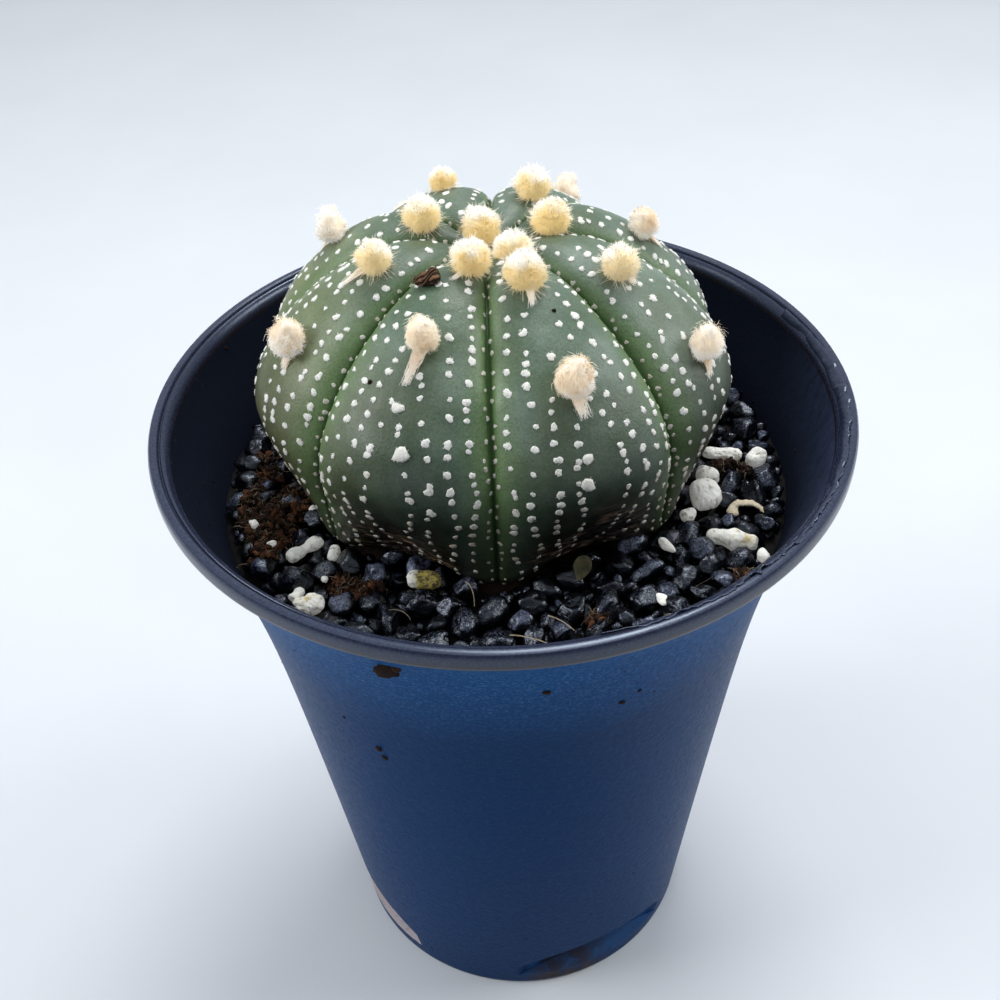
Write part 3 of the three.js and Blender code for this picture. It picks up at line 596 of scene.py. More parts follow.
def add_tuft(heap, place, hairs, random):
    rib, row, radius, trail, _ = place
    out, down, across = (axis.reshape(3) for axis in skin_frame(rib, row))
    foot = skin_surface(rib, row)
    matted = float(smoothstep(MATTED_ROW - 0.3, MATTED_ROW + 0.6, row))
    centre = foot + out * radius * TUFT_SINK
    axes = np.stack([across, down, out])

    def shape(ways):
        """The reach of the tuft's surface in each direction, where +1 is the given radius."""
        reach = 0.96 + (0.14 + 0.1 * matted) * rough(ways * 2 + foot, 1.3, 81)
        peak = np.clip(-ways[:, 1] * 0.6 + ways[:, 2] * 0.8, 0, 1) ** 6
        waist = np.clip(ways[:, 1] * 0.75 - ways[:, 2] * 0.65, 0, 1) ** 2
        base = np.clip(-ways[:, 2] - 0.1, 0, 1)
        return reach * (1 + matted * (0.5 * peak - 0.42 * waist - 0.14)) * (1 - 0.28 * base)

    ways, faces = BALLS[4]
    core = 0.82 + 0.06 * matted
    lumps = 1 + 0.05 * noise(ways * 8 + foot, 1, 83)
    body = (ways * (shape(ways) * core * radius * lumps)[:, None]) @ axes + centre
    shade = float(random.uniform(0, 1))
    heap.add(body, [faces], tip=0.1, matted=matted, shade=shade, pale=pale_share(ways @ axes, foot))

    ways = unit(sphere_ways(hairs) + random.normal(0, 0.06, (hairs, 3)))
    ways = ways[ways[:, 2] > -0.62]
    count = len(ways)
    bleached = pale_share(ways @ axes, foot) * (1 - matted)
    sheltered = 0.5 * (1 - smoothstep(-8, -16, foot[1]))
    bleached += matted * smoothstep(-0.35, 0.6, sheltered + 0.7 * noise(
        ways * 1.6 + foot, 1, 85) - (ways @ axes)[:, 2] * 0.8)
    swirl = unit(np.cross(ways, [0.2, 0.3, 1.0]) + random.normal(0, 0.6, (count, 3)))
    droop = np.array([0, 1.0, -0.15])
    lean = random.normal(0, 0.1, (count, 3)) + matted * (0.42 * swirl + 0.22 * droop)
    clumps = sphere_ways(HAIR_CLUMPS) + random.normal(0, 0.05, (HAIR_CLUMPS, 3))
    lean += 0.3 * (clumps[np.argmax(ways @ clumps.T, axis=1)] - ways)
    length = random.uniform(0.9, 1.05, count)
    fringe = np.clip(ways[:, 1], 0, 1)
    length += random.uniform(0, 0.3, count) * (random.random(count) < 0.05 + 0.2 * fringe)
    roots = ways * (shape(ways) * radius * (core - 0.08))[:, None]
    reach = radius * shape(ways) * length
    tips = unit(ways + lean) * reach[:, None]
    bend = ways * (0.05 + 0.1 * matted) * radius + random.normal(0, 0.05 * radius, (count, 3))
    paths = bent_paths(roots, tips, bend, 3) @ axes + centre
    side = lit_side((tips - roots) @ axes, random)
    points, quads, tip = strands(paths, side, random.uniform(0.04, 0.075, count), 0.3)
    pale = np.repeat(bleached, 6)
    tone = np.repeat(np.clip(shade + random.normal(0, 0.4, count), -1, 1.5), 6)
    heap.add(points, [quads], unit(points - centre + [0, -0.5, 1.2]), tip=0.25 + 0.75 * tip,
             matted=matted, shade=tone, pale=pale)

    if trail:
        add_tail(heap, place, shade, random)
    if matted < 0.5:
        add_wisps(heap, place, shade, random)


def add_tail(heap, place, shade, random):
    """Matted wool that trails from a tuft down the crest of its rib."""
    rib, row, radius, trail, lean = place
    count = TAIL_HAIRS
    along = np.linspace(0, 1, 6)[None, :]
    length = random.uniform(0.35, 1, count)[:, None]
    reach = length * along
    rows = row + 0.12 + trail * reach
    spread = 0.018 * (1 - reach) ** 2 + 0.007 + 0.011 * reach**2
    drift = random.normal(0, 1, (count, 1)) + 0.5 * np.sin(
        5 * along + random.uniform(0, 6, (count, 1)))
    ribs = rib + lean * reach + drift * spread
    lift = (0.3 * radius * (1 - reach) ** 2 + 0.05
            + random.uniform(0, 0.4, (count, 1)) * (1 - 0.8 * reach))
    out, _, across = skin_frame(ribs, rows)
    paths = skin_surface(ribs, rows) + out * lift[..., None]
    paths += random.normal(0, 0.06, paths.shape)
    side = unit(across[:, 0] + random.normal(0, 0.5, (count, 3)))
    points, quads, tip = strands(paths, side, random.uniform(0.05, 0.1, count), 0.4)
    heap.add(points, [quads], tip=0.15 + 0.8 * np.repeat(reach, 2, axis=1), matted=1,
             shade=shade, pale=np.repeat(reach, 2, axis=1))


def add_wisps(heap, place, shade, random):
    """Fine loose hairs that lie on the skin round the foot of a tuft."""
    rib, row, radius = place[:3]
    count = WISP_HAIRS
    way = random.uniform(0, 2 * math.pi, count)
    out, down, across = skin_frame(rib, row)
    flat = np.cos(way)[:, None] * across + np.sin(way)[:, None] * down
    foot = skin_surface(rib, row)
    roots = foot + flat * 0.6 * radius + out * 0.2
    tips = foot + flat * radius * random.uniform(0.95, 1.35, count)[:, None] + out * 0.12
    tips += random.normal(0, 0.25, (count, 3)) * [1, 1, 0.3]
    paths = bent_paths(roots, tips, random.normal(0, 0.12, (count, 3)) + out * 0.1, 4)
    side = unit(np.cross(tips - roots, random.normal(0, 1, (count, 3))))
    points, quads, tip = strands(paths, side, np.full(count, 0.05), 0.4)
    heap.add(points, [quads], tip=0.6 + 0.4 * tip, matted=0, shade=shade, pale=0.8)


def build_wool(material):
    random = np.random.default_rng(8)
    for name, places, hairs in (("rib_wool", RIB_TUFTS, RIB_HAIRS),
                                ("crown_wool", CROWN_TUFTS, CROWN_HAIRS)):
        heap = Heap()
        for place in places:
            add_tuft(heap, place, hairs, random)
        heap.piece(name, material, "wool", "cactus")


# Pot

def outer_radius(z):
    return FOOT_RADIUS + DRAFT * z + FLARE * np.exp((z - POT_HEIGHT) / FLARE_REACH)


def inner_radius(z):
    return np.minimum(outer_radius(z) - WALL, MOUTH_RADIUS - 0.12 * (MOUTH_HEIGHT - z))


def pot_outline():
    """The pot's outside, from the middle of its underside to the top of the lip."""
    foot = [(0, 0), (8.7, 0), (9.1, 0.1), (10.3, 1.4), (10.8, FLOOR_LIFT), (23, FLOOR_LIFT),
            (23.4, 1.3), (24.3, 0.1), (24.7, 0), (27.2, 0), (27.5, 0.1), (27.75, 0.5)]
    wall = [(outer_radius(z), z) for z in np.linspace(1.2, 97.2, 66)]
    return foot + wall + [(RIM_RADIUS - inset, POT_HEIGHT - drop) for inset, drop in LIP]


def turned(profile, sides=POT_SIDES):
    """A closed solid of revolution from (radius, height) points that start and end on the axis."""
    profile = np.array(profile, float)
    middle = profile[1:-1]
    rings = outward(circle(sides))[None] * middle[:, :1, None]
    rings[..., 2] = middle[:, 1:]
    points = np.concatenate([rings.reshape(-1, 3), [[0, 0, profile[0, 1]], [0, 0, profile[-1, 1]]]])
    ring = np.arange(sides)
    low = len(points) - 2
    faces = [grid_faces(len(middle), sides)[:, ::-1], fan(low, ring, flipped=True),
             fan(low + 1, low - sides + ring)]
    return points, sum([block.tolist() for block in faces], [])


def ring_of(first_azimuth, block):
    """Joins copies of a block of (out, along, up) points, one to each recess, into one mesh."""
    shape, sides = block
    points = []
    faces = []
    for i in range(RECESS_COUNT):
        away = outward(math.radians(first_azimuth + i * 360 / RECESS_COUNT))
        count = len(points)
        points += list(np.array(shape) @ np.stack([away, [-away[1], away[0], 0], [0, 0, 1]]))
        faces += [[corner + count for corner in side] for side in sides]
    return np.array(points), faces


def block_between(near, far):
    """A closed block between two outlines with the same number of points."""
    count = len(near)
    faces = [list(range(count))[::-1], list(range(count, 2 * count))]
    faces += [[i, (i + 1) % count, (i + 1) % count + count, i + count] for i in range(count)]
    return near + far, faces


def prism(outline, near, far):
    """A block between two distances out, from an outline of (along, up) points."""
    return block_between(*([(out, *point) for point in outline] for out in (near, far)))


def recess_block(margin):
    half = RECESS_WIDTH / 2 + margin
    rise = RECESS_TOP + margin - LEDGE_HEIGHT
    floor = 0.5 if margin else LEDGE_HEIGHT
    arch = [(half * math.cos(a), LEDGE_HEIGHT + rise * math.sin(a))
            for a in np.linspace(0, math.pi, 33)]
    outline = [(-half, floor), (half, floor)] + arch if margin else arch
    return prism(outline, RECESS_PLANE - margin, RECESS_PLANE - margin + 12)


def slot_block():
    low, high = LEDGE_HEIGHT + 0.4, LEDGE_HEIGHT + 2.6
    return prism([(-4, low), (4, low), (4, high), (-4, high)], RECESS_PLANE - 3.5,
                 RECESS_PLANE + 2.5)


def drain_block():
    return block_between(*(
        [(DRAIN_CIRCLE + DRAIN_RADIUS * math.cos(a), DRAIN_RADIUS * math.sin(a), z)
         for a in circle(40)] for z in (-4, 4)))


def solid(points, faces):
    mesh = bpy.data.meshes.new("block")
    mesh.from_pydata((np.asarray(points) * MM).tolist(), [], faces)
    block = bpy.data.objects.new("block", mesh)
    bpy.context.scene.collection.objects.link(block)
    return block


def combine(block, tool, operation):
    """Joins, cuts or intersects a block with another, which is used up."""
    modifier = block.modifiers.new("combine", "BOOLEAN")
    modifier.operation = operation
    modifier.object = tool
    modifier.solver = "MANIFOLD"
    graph = bpy.context.evaluated_depsgraph_get()
    mesh = bpy.data.meshes.new_from_object(block.evaluated_get(graph))
    block.modifiers.clear()
    block.data = mesh
    bpy.data.objects.remove(tool)


def build_pot(material, lip_paint):
    floor_top = FLOOR_LIFT + WALL
    inside = [(inner_radius(z), z) for z in np.linspace(98, floor_top + 1, 26)]
    groove = [(RIM_RADIUS - inset, POT_HEIGHT - drop) for inset, drop in LIP_GROOVE]
    floor = [(inner_radius(floor_top) - 0.2, floor_top + 0.25),
             (inner_radius(floor_top) - 0.8, floor_top), (0, floor_top)]
    pot = solid(*turned(pot_outline() + groove + inside + floor))
    backs = solid(*ring_of(RECESS_FIRST, recess_block(WALL)))
    combine(backs, solid(*turned(pot_outline() + [(0, POT_HEIGHT - 0.1)])), "INTERSECT")
    combine(pot, backs, "UNION")
    for first, block in ((RECESS_FIRST, recess_block(0)), (RECESS_FIRST, slot_block()),
                         (RECESS_FIRST + 45, drain_block())):
        combine(pot, solid(*ring_of(first, block)), "DIFFERENCE")
    mesh = pot.data.copy()
    bpy.data.objects.remove(pot)
    mesh.materials.clear()

    place = np.zeros(len(mesh.vertices) * 3)
    mesh.vertices.foreach_get("co", place)
    place = place.reshape(-1, 3) / MM
    radius = np.hypot(place[:, 0], place[:, 1])
    inner = (radius < outer_radius(place[:, 2]) - 0.6 * WALL) & (place[:, 2] > floor_top - 0.1)
    inner &= place[:, 2] < 98.65
    lip = (place[:, 2] > 97.3) & (radius > 42.3)
    layer = mesh.attributes.new("inner", "FLOAT", "POINT")
    layer.data.foreach_set("value", inner.astype(np.float32))
    show("pot_shell", mesh, material, "pot", "pot")
    mesh.materials.append(lip_paint)
    for face in mesh.polygons:
        face.material_index = int(lip[list(face.vertices)].min() > 0.5)
    mesh.set_sharp_from_angle(angle=math.radians(38))


def build_flash(material):
    """The thin ragged film of plastic left along the inner edge of the lip."""
    random = np.random.default_rng(12)
    start, end = FILM_AZIMUTHS
    azimuth = np.linspace(start, end, 420)
    fade = smoothstep(start, 24, azimuth) * (1 - smoothstep(84, end, azimuth))
    steps = np.interp(azimuth, np.sort(random.uniform(start, end, 26)), random.uniform(0, 1, 26))
    place = np.stack([azimuth, azimuth * 0, azimuth * 0], -1)
    ragged = 0.55 * (np.round(steps * 3) / 3) + 0.22 * rough(place, 1.3, 91, 4)
    outer = 43.42 + (0.3 + ragged) * fade
    inner = 42.75 + 0.15 * noise(place, 5, 92)
    lift = (0.16 + 0.22 * np.clip(rough(place, 1.7, 93, 3), 0, 1)) * fade
    edges = [(inner, 99.12), ((inner + outer) / 2, 99.62 + lift), (outer - 0.1, 99.98 + lift),
             (outer, 99.93 + lift), (outer - 0.05, 99.86 + 0.3 * lift), (inner, 98.95)]
    rows = [outward(np.radians(azimuth)) * radius[:, None]
            + np.multiply.outer(height + 0 * azimuth, [0, 0, 1]) for radius, height in edges]
    heap = Heap()
    heap.add(np.stack(rows, 1), [grid_faces(len(azimuth), len(rows))])
    heap.close(len(rows), flipped=True)
    heap.piece("lip_film", material, "pot")


# Fill

def plant_reach():
    """The plant's outline at the fill, as azimuths about its axis and distances from it."""
    rib, row = np.meshgrid(np.linspace(0, RIBS, 241), np.linspace(8.5, 12, 36))
    offset = skin_point(rib, row) - [PLANT_X, PLANT_Y, 0]
    radius = np.where(offset[..., 2] < 89, np.hypot(offset[..., 0], offset[..., 1]), 0).max(0)
    azimuth = np.degrees(np.arctan2(offset[0, :, 0], -offset[0, :, 1])) % 360
    order = np.argsort(azimuth)
    return azimuth[order], radius[order]


PLANT_REACH = plant_reach()


def from_plant(x, y):
    """Distance from the plant's outline, outwards."""
    azimuth = np.degrees(np.arctan2(x - PLANT_X, -(y - PLANT_Y))) % 360
    return np.hypot(x - PLANT_X, y - PLANT_Y) - np.interp(azimuth, *PLANT_REACH, period=360)


def under_loose(x, y, margin):
    """Whether a place lies under one of the loose stones or clumps."""
    covered = False
    for loose in [*PUMICE, *PEAT, DARK_LUMP]:
        angle = math.radians(loose[4])
        dx, dy = x - loose[0], y - loose[1]
        along = dx * math.cos(angle) + dy * math.sin(angle)
        across = dy * math.cos(angle) - dx * math.sin(angle)
        reach = math.hypot(along / (loose[2] / 2 + margin), across / (loose[3] / 2 + margin))
        covered |= reach < 1
    return covered


def scatter(sizes, spacing, keep_off, random):
    """Packs round places of falling size in the ring between the plant and the wall."""
    placed = np.zeros((0, 3))
    wall = inner_radius(BED_TOP) - 0.25
    for size, tries in sizes:
        for _ in range(tries):
            x, y = random.uniform(-wall, wall, 2)
            if math.hypot(x, y) > wall - size or from_plant(x, y) < 0.5 * size:
                continue
            away = np.hypot(placed[:, 0] - x, placed[:, 1] - y)
            if np.any(away < spacing * (placed[:, 2] + size)) or keep_off(x, y, size):
                continue
            placed = np.vstack([placed, [x, y, size]])
    return placed


def stone_shape(level, random, facets=12, sharpness=26):
    """A rounded, faceted pebble of about unit size."""
    ways, faces = BALLS[level]
    normals = unit(random.normal(0, 1, (facets, 3)))
    depth = random.uniform(0.66, 1.0, facets)
    gauge = np.maximum(ways @ normals.T / depth, 0) ** sharpness
    reach = (gauge.sum(1) + 0.55) ** (-1 / sharpness)
    return ways * reach[:, None], faces


def tilted(points, random, amount):
    turn = Matrix.Rotation(random.uniform(0, 2 * math.pi), 3, "Z")
    tip = Matrix.Rotation(random.normal(0, amount), 3, "X")
    roll = Matrix.Rotation(random.normal(0, amount), 3, "Y")
    return points @ np.array(turn @ tip @ roll).T


def add_stone(heap, place, height, level, random):
    """Drops a pebble at (x, y, size) with its middle at a height."""
    x, y, size = place
    shape, faces = stone_shape(level, random)
    stretch = random.uniform(1.02, 1.3)
    scale = np.array([stretch, 1 / stretch, random.uniform(0.72, 0.95)]) * size * 1.1
    seed = int(random.integers(1000))
    grain = 1 + 0.09 * rough(shape, 0.6, seed, 3) - 0.06 * np.abs(noise(shape, 0.33, seed + 9))
    points = tilted(shape * scale * grain[:, None], random, 0.35) + [x, y, height]
    heap.add(points, [faces], tint=random.random(), pale=random.random())


def build_grit(material):
    random = np.random.default_rng(21)
    top = scatter(TOP_STONES, 0.88, lambda x, y, size: under_loose(x, y, 0.55 * size), random)
    fine = Heap()
    coarse = Heap()
    for place in top:
        size = place[2]
        height = BED_TOP + 0.35 + 0.62 * size + random.uniform(-0.15, 0.75)
        front = place[1] < FRONT_EDGE and size > 1.4
        level = 4 if front else 3 if size > 0.9 else 2
        add_stone(fine if front else coarse, place, height, level, random)
    for place in scatter(LOW_STONES, 0.85, lambda x, y, size: False, random):
        add_stone(coarse, place, BED_TOP - 0.35, 2, random)
    fine.piece("grit_front", material, "grit", "top_grit")
    coarse.piece("grit_rest", material, "grit", "top_grit")


def build_bed(material):
    """The rough bed under the stones, from the plant to the wall, coloured near black, darker than
    the potting mix, as painted shade in the gaps between the stones.
    """
    around, rings = 240, 30
    degrees = np.arange(around) * 360 / around
    centre = np.array([PLANT_X, PLANT_Y])
    way = outward(np.radians(degrees))[:, :2]
    near = centre + way * (np.interp(degrees, *PLANT_REACH, period=360) - 1.2)[:, None]
    wall = inner_radius(BED_TOP) - 0.05
    along = -way @ centre + np.sqrt(wall**2 - centre @ centre + (way @ centre) ** 2)
    far = centre + way * along[:, None]
    share = np.linspace(0, 1, rings)[:, None, None]
    flat = near[None] * (1 - share) + far[None] * share
    spot = np.concatenate([flat, np.full((rings, around, 1), BED_TOP)], -1)
    spot[..., 2] += 0.45 * rough(spot, 2.2, 31, 4) - 0.2
    skirt = spot[[0, -1]].copy()
    skirt[..., 2] = MIX_TOP + 0.1
    points = np.concatenate([skirt[:1], spot, skirt[1:]])
    bed = Heap()
    bed.add(points, [grid_faces(rings + 2, around)[:, ::-1]])
    bed.piece("grit_bed", material, "potting_mix", "top_grit")


def laid(shape, x, y, turn):
    """A shape turned and laid on the grit at a place."""
    shape = turn_about_z(shape, turn) + [x, y, 0]
    shape[:, 2] += LOOSE_REST - shape[:, 2].min()
    return shape


def pumice_shape(length, width, knobs, seed, random):
    """A rounded, pitted stone with knobs along its length, and its faces."""
    rows, columns = 38, 40
    along = -np.cos(np.linspace(0.03, math.pi - 0.03, rows))
    swell = np.sqrt(1 - along**2) ** 0.72
    if knobs > 1:
        beat = np.cos(math.pi * (knobs - 1) * (along + 1))
        swell = swell * (0.86 + 0.14 * beat + 0.05 * along)
    lopsided = 1 - 0.12 * along * random.choice([-1, 1])
    angle = circle(columns)
    height = width * 0.95
    reach = (swell * lopsided)[:, None]
    shape = np.stack([
        np.repeat(along[:, None] * length / 2, columns, 1),
        reach * np.cos(angle) * width / 2, reach * np.sin(angle) * height / 2], -1)
    shape = np.concatenate([shape.reshape(-1, 3), [[-length / 2, 0, 0], [length / 2, 0, 0]]])
    way = unit(shape * [1 / length, 1 / width, 1 / height])
    lumps = 0.15 * width * rough(shape, 0.95 * width, seed) + 0.05 * rough(shape, 0.5, seed + 4)
    pits = -0.16 * smoothstep(0.42, 0.75, noise(shape, 0.42, seed + 5))
    end = rows * columns
    ring = np.arange(columns)
    faces = [grid_faces(rows, columns), fan(end, ring),
             fan(end + 1, end - columns + ring, flipped=True)]
    return shape + way * (lumps + pits)[:, None], faces


def build_pumice(material, chip_material):
    random = np.random.default_rng(33)
    for number, (x, y, length, width, turn, knobs) in enumerate(PUMICE, 1):
        node = f"pumice_{number:02d}"
        if not knobs:
            build_chip(node, x, y, turn, chip_material)
            continue
        seed = PUMICE_SEED + 10 * number
        shape, faces = pumice_shape(length, width, knobs, seed, random)
        shape = laid(shape, x, y, turn)
        heap = Heap()
        heap.add(shape, faces, mossy=number == MOSSY_STONE, stain=number in STAINED_STONES,
                 pit=smoothstep(0.3, 0.7, noise(shape, 0.42, seed + 5)))
        heap.piece(f"pumice_stone_{number:02d}", material, "pumice", node)


def build_chip(node, x, y, turn, material):
    """A bent flat chip of pale bark that lies on the grit."""
    spine = np.array([(-2.1, -0.9, 0), (-1.9, 0.1, 0.35), (-1.3, 0.75, 0.75), (-0.4, 0.8, 0.9),
                      (0.7, 0.75, 0.75), (1.6, 0.35, 0.5), (2.3, -0.35, 0.1)])
    rows, columns = 40, 16
    row = np.linspace(0, len(spine) - 1, rows)
    line = on_line(spine, row)
    ahead = unit(on_line(spine, row + 0.05) - on_line(spine, row - 0.05))
    side = unit(np.cross(ahead, [0, 0, 1]))
    over = np.cross(side, ahead)
    width = 0.64 * np.interp(row, [0, 0.4, 3, 5, 6], [0.5, 1, 0.85, 0.7, 0.15])
    angle = circle(columns)
    cut = (side[:, None] * np.cos(angle)[None, :, None]
           + over[:, None] * 0.45 * np.sin(angle)[None, :, None])
    shape = line[:, None] + cut * width[:, None, None]
    shape = shape + cut * 0.3 * rough(shape, 0.7, 44)[..., None]
    heap = Heap()
    heap.add(laid(shape.reshape(-1, 3), x, y, turn - 30), [grid_faces(rows, columns)], tint=0)
    heap.close(columns)
    heap.piece("bark_chip", material, "pumice", node)


def build_peat(material, fibre_material):
    """Clumps of crumbs with loose fibres, and the straws that lie on the grit."""
    random = np.random.default_rng(55)
    spots = [(*place, f"peat_clump_{i:02d}") for i, place in enumerate(PEAT, 1)]
    spots += [(*place, None) for place in LOOSE_PEAT]
    fibres = Heap()
    for number, (x, y, length, width, turn, count, palest, node) in enumerate(spots, 1):
        heap = Heap()
        for _ in range(count):
            reach = math.sqrt(random.random()) * 0.96
            angle = random.uniform(0, 2 * math.pi)
            size = random.uniform(0.16, 0.6)
            shape, faces = stone_shape(3 if size > 0.46 else 2, random, 9, 5)
            seed = int(random.integers(1000))
            shape = shape * (1 + 0.55 * rough(shape, 0.6, seed)[:, None])
            shape = tilted(shape * size * [1.5, 1, 0.7], random, 0.8)
            spot = np.array([[reach * math.cos(angle) * length / 2,
                              reach * math.sin(angle) * width / 2, 0]])
            dome = 1.9 * (1 - reach**2) * min(1, width / 4)
            lift = (-0.1 if node else 0.35) + size * 0.7 + random.uniform(0, 1) * dome
            spot = turn_about_z(spot, turn)[0] + [x, y, LOOSE_REST + lift]
            heap.add(shape + spot, [faces], tint=random.random() * palest)
            for _ in range(2):
                root = spot + [0, 0, size * 0.6]
                tip = root + random.normal(0, 0.8, 3) * [1, 1, 0.4]
                path = bent_paths(root[None], tip[None], random.normal(0, 0.25, (1, 3)), 6)
                side = unit(random.normal(0, 1, (1, 3)))
                points, quads, _ = strands(path, side, [random.uniform(0.06, 0.16)])
                fibres.add(points, [quads], tint=0.55 + 0.45 * random.random())
        heap.piece(f"peat_{number:02d}", material, "peat", *([node] if node else []))
    for root, tip, bend, width in STRAWS:
        path = bent_paths(*np.array([root, tip, bend])[:, None], 14)
        for side in ((0, 0, 1.0), (0.7, 0.7, 0)):
            points, quads, _ = strands(path, np.array([side]), [width], 0.55)
            fibres.add(points, [quads], tint=0.4)
    fibres.piece("straws_and_fibres", fibre_material, "peat")


def build_pebbles(material):
    """The small pale stones and crumbs that lie between the dark ones."""
    random = np.random.default_rng(66)
    heap = Heap()
    for number, (x, y, size) in enumerate(PEBBLES):
        shape, faces = stone_shape(3, random, 10, 8)
        shape = shape * (1 + 0.2 * rough(shape, 0.8, number)[:, None]) * size
        if number == 0:
            shape = turn_about_z(shape * [1.9, 0.75, 0.7], -62)
        else:
            shape = tilted(shape * [1.2, 1, 0.85], random, 0.2)
        rest = LOOSE_REST + 1.2 + 0.3 * random.random() + size * 0.4
        heap.add(shape + [x, y, rest], [faces], mossy=0, stain=number == 3, pit=0)
    heap.piece("small_pale_stones", material, "pumice")


def build_scale(material):
    """A dry scale that leans on the grit in front of the plant."""
    ways, faces = BALLS[3]
    narrow = 1 - 0.5 * np.clip(ways[:, 0], 0, 1)
    shape = ways * [1.65, 1.15, 0.14]
    shape[:, 1] *= narrow
    shape[:, 2] += 0.22 * shape[:, 1] ** 2 + 0.12 * rough(shape, 1.1, 47)
    ahead = unit(np.array([-0.3, -0.8, -0.5]))
    beside = unit(np.cross([0, -0.4, 1.0], ahead))
    axes = np.stack([ahead, beside, np.cross(ahead, beside)])
    heap = Heap()
    heap.add(shape @ axes + SCALE_PLACE, [faces])
    heap.piece("dry_scale", material, "peat")


def build_husk(material):
    """The dried flower: a short crumpled tube with ridges, lying beside the crown."""
    out, down, across = (axis.reshape(3) for axis in skin_frame(*HUSK_PLACE))
    rows, columns = 30, 72
    along = np.linspace(-1, 1, rows)[:, None]
    angle = circle(columns)[None, :]
    twist = angle + 0.9 * along
    radius = (0.74 + 0.14 * along) * np.sqrt(np.clip(1.02 - along**4, 0, 1))
    twist = twist + 0.25 * np.sin(5 * along + 2 * angle)
    ridges = 1 + 0.24 * np.abs(np.sin(5 * twist)) + 0.14 * np.sin(3 * twist + 4 * along)
    reach = radius * ridges
    shape = np.stack([1.5 * along + 0 * angle, reach * np.cos(angle), 0.8 * reach * np.sin(angle)],
                     -1).reshape(-1, 3)
    shape = shape * (1 + 0.26 * rough(shape, 0.6, 51)[:, None])
    centre = skin_surface(*HUSK_PLACE) + out * 0.72
    ahead = unit(across * 0.8 - down * 0.6)
    axes = np.stack([ahead, np.cross(out, ahead), out])
    heap = Heap()
    # The ridge value also paints the furrows dark in the husk's colour, as painted shade.
    ridge = (np.abs(np.sin(5 * twist)) + 0 * along).ravel()
    heap.add(shape @ axes + centre, [grid_faces(rows, columns)], ridge=ridge)
    heap.close(columns)
    heap.piece("dried_flower_husk", material, "husk", "dried_flower")


def build_dirt(material):
    """Crumbs of soil that stick to the pot, and a few on the skin."""
    random = np.random.default_rng(77)
    crumbs = list(POT_CRUMBS)
    for count, heights, sizes, inside in STREWN_CRUMBS:
        crumbs += [(random.uniform(0, 360), random.uniform(*heights), random.uniform(*sizes), inside)
                   for _ in range(count)]
    heap = Heap()
    for azimuth, height, size, inside in crumbs:
        shape, faces = stone_shape(3 if size > 0.2 else 2, random, 8, 6)
        shape = shape * (1 + 0.25 * rough(shape, 0.8, int(random.integers(999)))[:, None])
        shape = tilted(shape * [1.2, 1, 1], random, 0.5) * size
        radius = inner_radius(height) if inside else outer_radius(height)
        way = outward(math.radians(azimuth))
        shape = shape - 0.5 * (shape @ way)[:, None] * way
        centre = way * (radius + (-0.2 if inside else 0.2) * size) + [0, 0, height]
        heap.add(shape + centre, [faces], tint=0.1 + 0.25 * random.random())
    for rib, row in SKIN_CRUMBS:
        shape, faces = stone_shape(2, random, 8, 6)
        heap.add(shape * 0.3 + skin_surface(rib, row), [faces], tint=0)
    heap.piece("soil_crumbs", material, "peat")


# Materials

